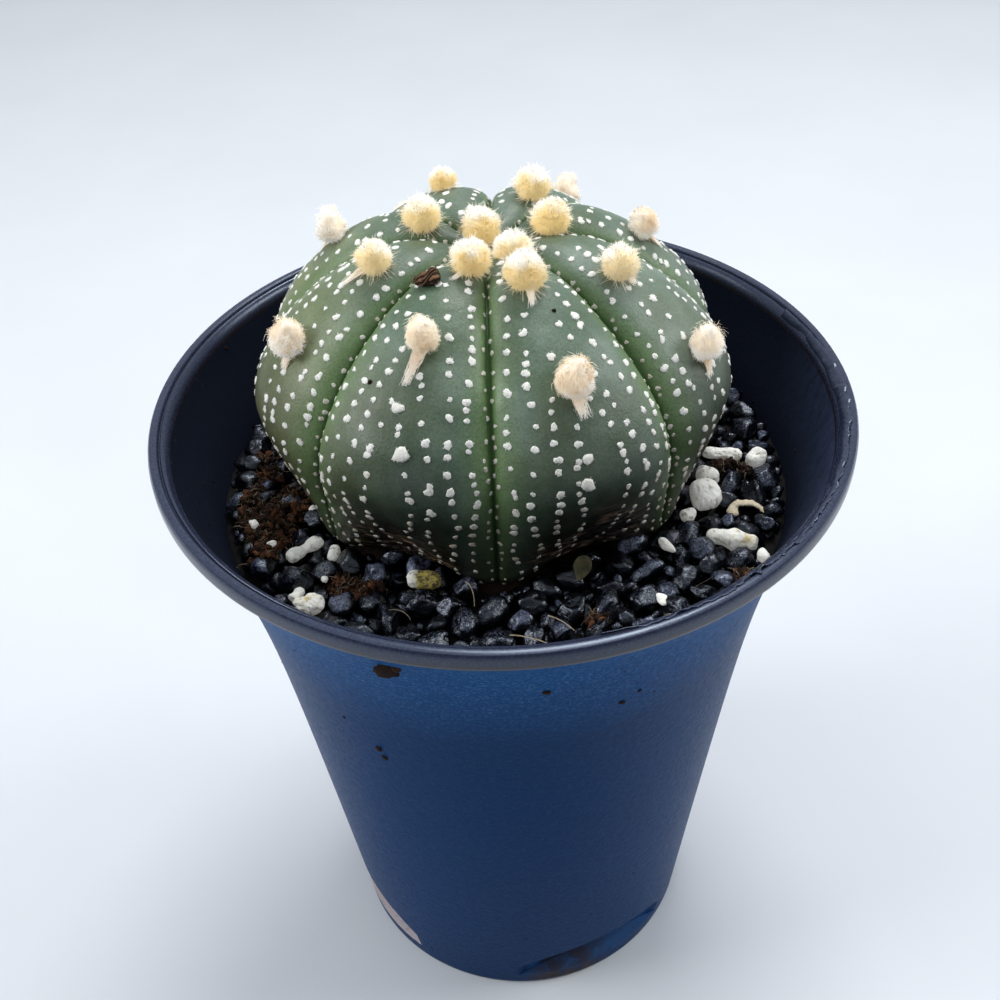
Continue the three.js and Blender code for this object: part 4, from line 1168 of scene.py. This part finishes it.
class Paint:
    """Builds a material from nodes. Sizes are millimetres on the object."""

    def __init__(self, name, specular, settings=None):
        self.material = bpy.data.materials.new(name)
        self.material.use_nodes = True
        self.nodes = self.material.node_tree.nodes
        self.links = self.material.node_tree.links
        self.shader = self.nodes["Principled BSDF"]
        for socket, value in {"Specular IOR Level": specular, **(settings or {})}.items():
            self.shader.inputs[socket].default_value = value
        self.place = self.add("ShaderNodeTexCoord").outputs["Object"]

    def add(self, kind, inputs=None, **settings):
        node = self.nodes.new(kind)
        for key, value in settings.items():
            setattr(node, key, value)
        for socket, value in (inputs or {}).items():
            if isinstance(value, bpy.types.NodeSocket):
                self.links.new(value, node.inputs[socket])
            elif isinstance(value, tuple) and len(value) == 3 and node.inputs[socket].type == "RGBA":
                node.inputs[socket].default_value = (*value, 1)
            else:
                node.inputs[socket].default_value = value
        return node

    def value(self, name):
        return self.add("ShaderNodeAttribute", attribute_name=name).outputs["Fac"]

    def noise(self, size, detail=3.0, roughness=0.55, stretch=None):
        place = self.place
        if stretch:
            place = self.add("ShaderNodeMapping", {"Vector": place, "Scale": stretch}).outputs[0]
        return self.add("ShaderNodeTexNoise", {
            "Vector": place, "Scale": 1 / (size * MM), "Detail": detail, "Roughness": roughness,
        }).outputs[0]

    def cells(self, size):
        return self.add("ShaderNodeTexVoronoi", {
            "Vector": self.place, "Scale": 1 / (size * MM)}).outputs["Distance"]

    def span(self, source, low, high, to_low=0.0, to_high=1.0):
        """A value carried from one range to another and held at the ends."""
        return self.add("ShaderNodeMapRange", {
            "Value": source, "From Min": low, "From Max": high, "To Min": to_low,
            "To Max": to_high}).outputs[0]

    def maths(self, operation, first, second=0.5):
        return self.add("ShaderNodeMath", {0: first, 1: second}, operation=operation).outputs[0]

    def times(self, *factors):
        """The product of values and numbers."""
        return reduce(lambda first, second: self.maths("MULTIPLY", first, second), factors)

    def plus(self, first, second):
        return self.maths("ADD", first, second)

    def mix(self, share, first, second, how="MIX"):
        return self.add("ShaderNodeMix", {0: share, 6: first, 7: second}, data_type="RGBA",
                        blend_type=how).outputs[2]

    def blend(self, source, low, high, first, second):
        """The first colour where a value is low and the second where it is high."""
        return self.mix(self.span(source, low, high), first, second)

    def graded(self, colour, grey):
        """A colour made darker or lighter by a grey value."""
        tone = self.add("ShaderNodeCombineColor", {0: grey, 1: grey, 2: grey}).outputs[0]
        return self.mix(1.0, colour, tone, "MULTIPLY")

    def axis(self, name):
        """Where a point lies along X, Y or Z, in millimetres."""
        place = self.add("ShaderNodeSeparateXYZ", {"Vector": self.place}).outputs[name]
        return self.times(place, 1 / MM)

    def along(self, vector, way):
        """How far a vector reaches in a direction."""
        return self.add("ShaderNodeVectorMath", {0: vector, 1: way},
                        operation="DOT_PRODUCT").outputs["Value"]

    def facing(self, way):
        """How far the surface faces a direction, up to 1."""
        return self.along(self.add("ShaderNodeNewGeometry").outputs["Normal"], way)

    def bump(self, source, depth, below=None):
        inputs = {"Height": source, "Distance": depth * MM, "Strength": 1.0}
        if below:
            inputs["Normal"] = below
        return self.add("ShaderNodeBump", inputs).outputs["Normal"]

    def painted_glow(self, colour):
        """Makes the surface give off a little light in its own colour: a painted glow that brightens
        fine fibres and foam, though they are no lamps.
        """
        self.links.new(colour, self.shader.inputs["Emission Color"])

    def finish(self, colour, roughness, normal=None):
        self.links.new(colour, self.shader.inputs["Base Color"])
        self.links.new(roughness, self.shader.inputs["Roughness"])
        if normal:
            self.links.new(normal, self.shader.inputs["Normal"])
        return self.material


def skin_material():
    """Grey green with painted light on its sides, lighter and yellower on the left and paler on the
    right, painted shade that darkens it towards the foot and a little on the crown, and corky at the
    foot.
    """
    paint = Paint("cactus_skin", 0.42)
    rise = paint.value("crestward")
    row = paint.value("row")
    cork = paint.value("cork")
    side = paint.axis("X")
    stipple = paint.noise(0.3, 2.5, 0.7)
    face = paint.blend(paint.noise(6.5, 4), 0.32, 0.68, srgb(76, 99, 77), srgb(112, 130, 115))
    # Painted light from the sides: the skin is lighter and yellower on the left and paler on the
    # right.
    face = paint.mix(paint.span(side, -12, -28, 0.0, 0.7), face, srgb(134, 141, 88))
    face = paint.mix(paint.span(side, 8, 26, 0.0, 0.6), face, srgb(134, 147, 132))
    warm = paint.times(paint.span(paint.noise(11, 2), 0.45, 0.7), 0.5)
    face = paint.mix(warm, face, srgb(88, 100, 62))
    face = paint.blend(rise, 0.03, 0.34, srgb(100, 126, 80), face)
    face = paint.blend(rise, 0.0, 0.035, srgb(40, 74, 24), face)
    # Painted shade: the skin darkens down the plant towards the foot, starting a little higher on
    # the crests than in the grooves.
    depth = paint.plus(row, paint.span(paint.noise(5, 3), 0.3, 0.7, -0.04, 0.04))
    depth = paint.plus(depth, paint.span(rise, 0.0, 0.6, -0.12, 0.03))
    face = paint.blend(depth, 4.4 / LAST_ROW, 8.8 / LAST_ROW, face, srgb(22, 26, 14))
    # Fine stipple, and painted shade that darkens the crown top by up to a fifth.
    face = paint.graded(face, paint.times(
        paint.span(stipple, 0.3, 0.7, 0.8, 1.2),
        paint.span(row, 1.6 / LAST_ROW, 4.2 / LAST_ROW, 0.8, 1.0)))
    wrinkle = paint.noise(2.6, 4, 0.6, (1, 1, 4.6))
    corky = paint.blend(wrinkle, 0.5, 0.62, srgb(14, 13, 9), srgb(132, 108, 88))
    share = paint.times(cork, paint.span(paint.noise(2.2, 3), 0.3, 0.46), 0.95)
    face = paint.mix(share, face, corky)
    gloss = paint.span(paint.noise(3.5, 3), 0.3, 0.7, 0.36, 0.5)
    relief = paint.bump(paint.noise(1.3, 3), 0.07)
    relief = paint.bump(paint.times(wrinkle, cork), 0.5, relief)
    return paint.finish(face, gloss, paint.bump(stipple, 0.05, relief))


def fleck_material():
    paint = Paint("white_felt", 0.15, {"Sheen Weight": 0.3})
    felt = paint.noise(0.16, 3, 0.7)
    white = paint.blend(felt, 0.3, 0.7, srgb(226, 225, 217), srgb(253, 253, 248))
    stain = paint.blend(felt, 0.3, 0.7, srgb(132, 104, 70), srgb(214, 194, 158))
    colour = paint.mix(paint.times(paint.value("worn"), 0.8), white, stain)
    return paint.finish(colour, paint.span(felt, 0, 1, 0.85, 1.0), paint.bump(felt, 0.08))


def wool_material():
    """Golden when fresh, tan when matted, and white where it is bleached and at the tips, with a
    painted glow in its own colour that brightens it.
    """
    # The wool glows in its own colour at this strength: painted light that brightens the tufts.
    paint = Paint("cream_wool", 0.1, {"Emission Strength": 0.17})
    shade = paint.value("shade")
    streak = paint.noise(0.22, 3, 0.7)
    bleached = paint.value("pale")
    fresh = paint.mix(bleached, srgb(255, 228, 158), srgb(255, 250, 240))
    old = paint.blend(paint.noise(2.2, 3), 0.36, 0.6, srgb(222, 192, 152), srgb(247, 232, 206))
    old = paint.mix(bleached, old, srgb(255, 252, 247))
    colour = paint.mix(paint.value("matted"), fresh, old)
    tips = paint.span(paint.value("tip"), 0.3, 1.0, 0.0, 0.3)
    colour = paint.mix(tips, colour, srgb(255, 250, 238))
    colour = paint.mix(paint.span(shade, 0.3, 1.5, 0.0, 0.4), colour, srgb(255, 250, 238))
    colour = paint.mix(paint.span(shade, 0.1, -0.9, 0.0, 0.4), colour, srgb(226, 176, 100))
    colour = paint.graded(colour, paint.span(streak, 0.25, 0.75, 0.9, 1.0))
    paint.painted_glow(colour)
    return paint.finish(colour, paint.span(streak, 0, 1, 0.8, 1.0))


def wall_colour(paint, wave, grain_and_sheen_band):
    """Blue plastic, paler and more speckled in the band under the lip; the paler blue there is
    partly painted sheen.
    """
    # Painted sheen: the band's paler blue stands partly for reflected light, with grainy plastic in
    # it too.
    wall = paint.mix(grain_and_sheen_band, srgb(7, 48, 90), srgb(14, 74, 128))
    wall = paint.mix(paint.span(wave, 0.35, 0.7, 0.0, 0.35), wall, srgb(10, 48, 98))
    flecks = paint.times(paint.span(paint.noise(0.42, 2, 0.6), 0.5, 0.68),
                         paint.span(grain_and_sheen_band, 0.0, 1.0, 0.1, 0.7))
    wall = paint.mix(flecks, wall, srgb(66, 110, 160))
    pits = paint.times(paint.span(paint.noise(0.55, 3, 0.7), 0.42, 0.32),
                       paint.span(grain_and_sheen_band, 0.0, 1.0, 0.15, 0.7))
    return paint.mix(pits, wall, srgb(6, 24, 50))


def inside_colour(paint, inner, height):
    """Dark plastic with pale smears, scuffed near the mouth on the right."""
    smear = paint.times(paint.span(paint.noise(2.2, 5, 0.65), 0.66, 0.78), 0.5)
    within = paint.mix(smear, srgb(28, 33, 46), srgb(60, 70, 98))
    to_right = paint.along(paint.place, (0.906, -0.423, 0))
    scuffed = paint.times(
        inner, paint.span(to_right, 30 * MM, 40 * MM), paint.span(height, 88, 97),
        paint.span(paint.noise(1.2, 4, 0.7, (1, 1, 0.4)), 0.3, 0.6, 0.35, 1.0))
    return paint.mix(scuffed, within, srgb(58, 66, 92))


def foot_marks(paint, colour, inner, height):
    """Recess walls painted paler as painted light against their shade, pale pinkish ledges on the
    left for dust and a painted reflection, blue ledges on the right as painted light, and a brown
    stain at the front right.
    """
    side = paint.axis("X")
    level = paint.add("ShaderNodeVectorMath", {0: paint.place, 1: (1, 1, 0)},
                      operation="MULTIPLY").outputs[0]
    radius = paint.add("ShaderNodeVectorMath", {0: level}, operation="LENGTH").outputs["Value"]
    # Painted light: the walls inside the recesses are lightened to a paler blue so that their shade
    # hardly shows.
    painted_recess_light = paint.times(
        paint.span(radius, (FOOT_RADIUS - 0.3) * MM, (FOOT_RADIUS - 0.9) * MM),
        paint.span(height, RECESS_TOP + 0.5, RECESS_TOP - 0.5),
        paint.span(inner, 0.0, 0.5, 0.8, 0.0))
    colour = paint.mix(painted_recess_light, colour, srgb(62, 120, 186))
    # The ledges: pale pinkish grey on the left for dust and a painted reflection, and the wall's lit
    # blue on the right as painted light.
    ledge_dust_and_light = paint.blend(side, -12, -9, srgb(206, 194, 198), srgb(58, 88, 134))
    ledge = paint.times(
        paint.span(paint.facing((0, 0, 1)), 0.5, 0.9),
        paint.span(height, LEDGE_HEIGHT + 1, LEDGE_HEIGHT + 0.2),
        paint.span(paint.noise(1.6, 4, 0.7), 0.3, 0.5, 0.6, 0.95))
    colour = paint.mix(ledge, colour, ledge_dust_and_light)
    stain = paint.times(
        paint.span(height, 5.0, 2.4), paint.span(side, -1, 3), paint.span(side, 14, 9),
        paint.span(paint.noise(2.5, 4, 0.7), 0.38, 0.52, 0.1, 0.9))
    return paint.mix(stain, colour, srgb(66, 52, 38))


def pot_material():
    paint = Paint("moulded_plastic", 0.04, {"Specular Tint": (0.3, 0.55, 1.0, 1)})
    height = paint.axis("Z")
    inner = paint.value("inner")
    wave = paint.noise(14, 3)
    grain_and_sheen_band = paint.span(paint.plus(height, paint.times(wave, 6.0)), 76, 94)
    colour = paint.mix(inner, wall_colour(paint, wave, grain_and_sheen_band), inside_colour(paint, inner, height))
    colour = foot_marks(paint, colour, inner, height)
    peel = paint.noise(0.75, 3, 0.6)
    gloss = paint.plus(paint.span(grain_and_sheen_band, 0, 1, 0.36, 0.5), paint.span(peel, 0.3, 0.7, -0.05, 0.07))
    fine = paint.noise(0.22, 2, 0.6)
    return paint.finish(colour, gloss, paint.bump(fine, 0.012, paint.bump(peel, 0.06)))


def lip_material():
    """Polished blue grey with a brown worn edge underneath and a few pale specks."""
    paint = Paint("polished_lip", 0.6, {"Specular Tint": (0.72, 0.84, 1.0, 1)})
    fine = paint.noise(0.3, 3, 0.6)
    colour = paint.blend(fine, 0.35, 0.75, srgb(30, 34, 52), srgb(52, 59, 84))
    worn = paint.times(paint.span(paint.axis("Z"), 98.7, 98.1),
                       paint.span(paint.noise(1.6, 4, 0.7), 0.3, 0.5, 0.4, 1.0))
    colour = paint.mix(worn, colour, srgb(36, 25, 26))
    specks = paint.times(paint.span(paint.noise(0.5, 4, 0.7), 0.7, 0.76), 0.6)
    colour = paint.mix(specks, colour, srgb(140, 146, 160))
    gloss = paint.span(paint.noise(9, 3), 0.3, 0.7, 0.16, 0.3)
    return paint.finish(colour, gloss, paint.bump(fine, 0.006))


def grit_material():
    """Wet black stone with painted highlights: fine pale lines along its creases on faces turned
    towards the light, and pale dust, partly painted highlight, on the tops of a few stones.
    """
    paint = Paint("dark_grit", 0.75, {"Specular Tint": (0.78, 0.86, 1.0, 1)})
    pale = paint.value("pale")
    grain = paint.noise(0.34, 4, 0.65)
    broad = paint.noise(0.95, 4, 0.7)
    # How far each face turns up towards the light, for the painted highlights.
    towards_light = paint.span(paint.facing((-0.25, -0.3, 0.92)), 0.6, 0.97)
    creases = paint.maths("ABSOLUTE", paint.maths("SUBTRACT", paint.noise(0.62, 3, 0.6), 0.5))
    colour = paint.mix(paint.value("tint"), srgb(3, 3, 5), srgb(10, 11, 15))
    # Painted highlight: pale blue grey lines along the creases, on the paler stones' faces turned
    # towards the light.
    painted_crease_highlight = paint.times(paint.span(creases, 0.032, 0.008), paint.span(pale, 0.35, 1.0, 0.0, 0.9))
    colour = paint.mix(paint.times(painted_crease_highlight, towards_light), colour, srgb(122, 130, 158))
    # Pale dust on the tops of a few stones, strongest on faces turned towards the light, so it is
    # partly a painted highlight.
    dust_and_highlight = paint.times(paint.span(pale, 0.8, 1.0, 0.0, 0.8), paint.span(grain, 0.4, 0.6, 0.2, 1.0))
    colour = paint.mix(paint.times(dust_and_highlight, towards_light), colour, srgb(112, 120, 146))
    relief = paint.bump(creases, 0.1, paint.bump(broad, 0.15))
    gloss = paint.span(broad, 0.35, 0.65, 0.04, 0.15)
    return paint.finish(colour, gloss, paint.bump(grain, 0.012, relief))


def soil_material(name, dark, pale, size=0.8, depth=0.2):
    paint = Paint(name, 0.3)
    crumb = paint.noise(size, 5, 0.7)
    colour = paint.blend(crumb, 0.35, 0.7, dark, pale)
    return paint.finish(colour, paint.span(crumb, 0, 1, 0.8, 1.0), paint.bump(crumb, depth))


def peat_material():
    paint = Paint("peat", 0.2)
    crumb = paint.noise(0.35, 4, 0.7)
    brown = paint.mix(paint.maths("POWER", paint.value("tint"), 2.2), srgb(38, 26, 19),
                      srgb(122, 78, 50))
    colour = paint.mix(paint.span(crumb, 0.4, 0.7, 0.0, 0.7), brown, srgb(28, 17, 13))
    return paint.finish(colour, paint.span(crumb, 0, 1, 0.85, 1.0), paint.bump(crumb, 0.12))


def straw_material():
    paint = Paint("straw", 0.3)
    grain = paint.noise(0.3, 3, 0.6, (1, 1, 3))
    pale = paint.blend(grain, 0.3, 0.7, srgb(214, 196, 164), srgb(242, 230, 206))
    colour = paint.mix(paint.value("tint"), pale, srgb(66, 42, 28))
    return paint.finish(colour, paint.span(grain, 0, 1, 0.6, 0.85), paint.bump(grain, 0.04))


def pumice_material():
    """Chalky white with darker pits, moss on one stone and yellow stains on others, and a faint
    painted glow in its own colour.
    """
    # The stones glow faintly in their own colour at this strength: painted light that brightens
    # them.
    paint = Paint("chalky_pumice", 0.25, {"Emission Strength": 0.12})
    chalk = paint.noise(0.5, 5, 0.65)
    broad = paint.noise(1.8, 3)
    colour = paint.blend(broad, 0.3, 0.7, srgb(240, 238, 228), srgb(254, 253, 248))
    colour = paint.mix(paint.span(chalk, 0.58, 0.76, 0.0, 0.4), colour, srgb(190, 176, 152))
    colour = paint.mix(paint.times(paint.value("pit"), 0.6), colour, srgb(120, 108, 92))
    grown = paint.plus(paint.axis("X"), paint.span(broad, 0.3, 0.7, -0.8, 0.8))
    grown = paint.times(paint.value("mossy"), paint.span(grown, -12.1, -11.3, 0.05, 0.95))
    moss = paint.blend(chalk, 0.42, 0.58, srgb(164, 152, 56), srgb(70, 50, 24))
    colour = paint.mix(grown, colour, moss)
    stain = paint.times(paint.value("stain"), paint.span(broad, 0.5, 0.65, 0.0, 0.7))
    colour = paint.mix(stain, colour, srgb(206, 178, 92))
    paint.painted_glow(colour)
    relief = paint.bump(paint.cells(0.45), 0.07, paint.bump(chalk, 0.1))
    return paint.finish(colour, paint.span(chalk, 0, 1, 0.8, 1.0), relief)


def husk_material():
    paint = Paint("dried_husk", 0.3)
    grain = paint.noise(0.2, 3, 0.6)
    # Painted shade: the husk is dark brown in the furrows between its ridges and paler on the ridge
    # tops.
    colour = paint.blend(paint.value("ridge"), 0.55, 0.95, srgb(30, 18, 13), srgb(118, 84, 56))
    colour = paint.mix(paint.span(grain, 0.5, 0.8, 0.0, 0.6), colour, srgb(58, 34, 22))
    return paint.finish(colour, paint.span(grain, 0, 1, 0.6, 0.9), paint.bump(grain, 0.06))


def floor_material():
    paint = Paint("pale_floor", 0.2)
    mottle = paint.noise(60, 4)
    colour = paint.mix(mottle, srgb(206, 210, 215), srgb(216, 220, 225))
    return paint.finish(colour, paint.span(mottle, 0, 1, 0.6, 0.75))


# Stage

def build_floor():
    corners = np.array([(-1, -1, 0), (1, -1, 0), (1, 1, 0), (-1, 1, 0)]) * FLOOR_REACH * MM
    mesh = bpy.data.meshes.new("floor")
    mesh.from_pydata(corners.tolist(), [], [(0, 1, 2, 3)])
    mesh.materials.append(floor_material())
    floor = bpy.data.objects.new("floor", mesh)
    bpy.context.scene.collection.objects.link(floor)


def build_sky():
    """A soft pale dome that is brightest high up behind the part."""
    world = bpy.data.worlds.new("studio")
    bpy.context.scene.world = world
    world.use_nodes = True
    nodes = world.node_tree.nodes
    links = world.node_tree.links
    way = nodes.new("ShaderNodeVectorMath")
    way.operation = "DOT_PRODUCT"
    way.inputs[1].default_value = (0, 0.3, 0.66)
    links.new(nodes.new("ShaderNodeTexCoord").outputs["Generated"], way.inputs[0])
    dome = nodes.new("ShaderNodeMapRange")
    for socket, value in (("From Min", 0), ("From Max", 0.7), ("To Min", 0.2), ("To Max", 0.84)):
        dome.inputs[socket].default_value = value
    links.new(way.outputs["Value"], dome.inputs["Value"])
    links.new(dome.outputs[0], nodes["Background"].inputs["Strength"])
    nodes["Background"].inputs["Color"].default_value = (0.88, 0.94, 1.0, 1)


def build_lights():
    for name, place, size, power in SOFTBOXES:
        data = bpy.data.lights.new(name, "AREA")
        data.shape = "DISK"
        data.size = size * MM
        data.energy = power
        light = bpy.data.objects.new(name, data)
        bpy.context.scene.collection.objects.link(light)
        away = np.array(place, float) - LIGHTS_AIM
        facing = Matrix.Identity(3)
        axis_z = unit(away)
        axis_x = unit(np.cross([0, 1, 0.01], axis_z))
        facing.col[0], facing.col[1], facing.col[2] = axis_x, np.cross(axis_z, axis_x), axis_z
        light.matrix_world = facing.to_4x4()
        light.location = [value * MM for value in place]


def build_camera():
    """The photograph's view: 45 mm lens, tipped 41.3 degrees down and rolled by 2.9."""
    data = bpy.data.cameras.new("photo_view")
    data.lens = CAMERA_LENS
    data.sensor_width = 36
    data.clip_start = 0.01
    camera = bpy.data.objects.new("photo_view", data)
    bpy.context.scene.collection.objects.link(camera)
    level = Matrix.Rotation(math.pi / 2 - CAMERA_PITCH, 4, "X") @ Matrix.Rotation(
        CAMERA_ROLL, 4, "Z")
    camera.matrix_world = Matrix.Translation([value * MM for value in CAMERA_PLACE]) @ level
    bpy.context.scene.camera = camera
    bpy.context.scene.view_settings.view_transform = "Standard"


build_camera()
build_floor()
build_sky()
build_lights()
lip_paint = lip_material()
straw_paint = straw_material()
pumice_paint = pumice_material()
peat_paint = peat_material()
build_pot(pot_material(), lip_paint)
build_flash(lip_paint)
build_skin(skin_material())
build_flecks(fleck_material())
build_wool(wool_material())
build_grit(grit_material())
# The bed's near black colour is painted shade for the gaps between the stones.
build_bed(soil_material("dark_bed", srgb(5, 5, 6), srgb(16, 13, 12)))
build_pumice(pumice_paint, straw_paint)
build_peat(peat_paint, straw_paint)
build_pebbles(pumice_paint)
build_scale(soil_material("dry_scale", srgb(48, 52, 34), srgb(96, 88, 64), 1.4, 0.1))
build_husk(husk_material())
build_dirt(peat_paint)
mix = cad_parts["potting_mix"]
mix.data.materials.clear()
mix.data.materials.append(soil_material("potting_mix", srgb(24, 18, 14), srgb(60, 43, 31), 2, 0.5))
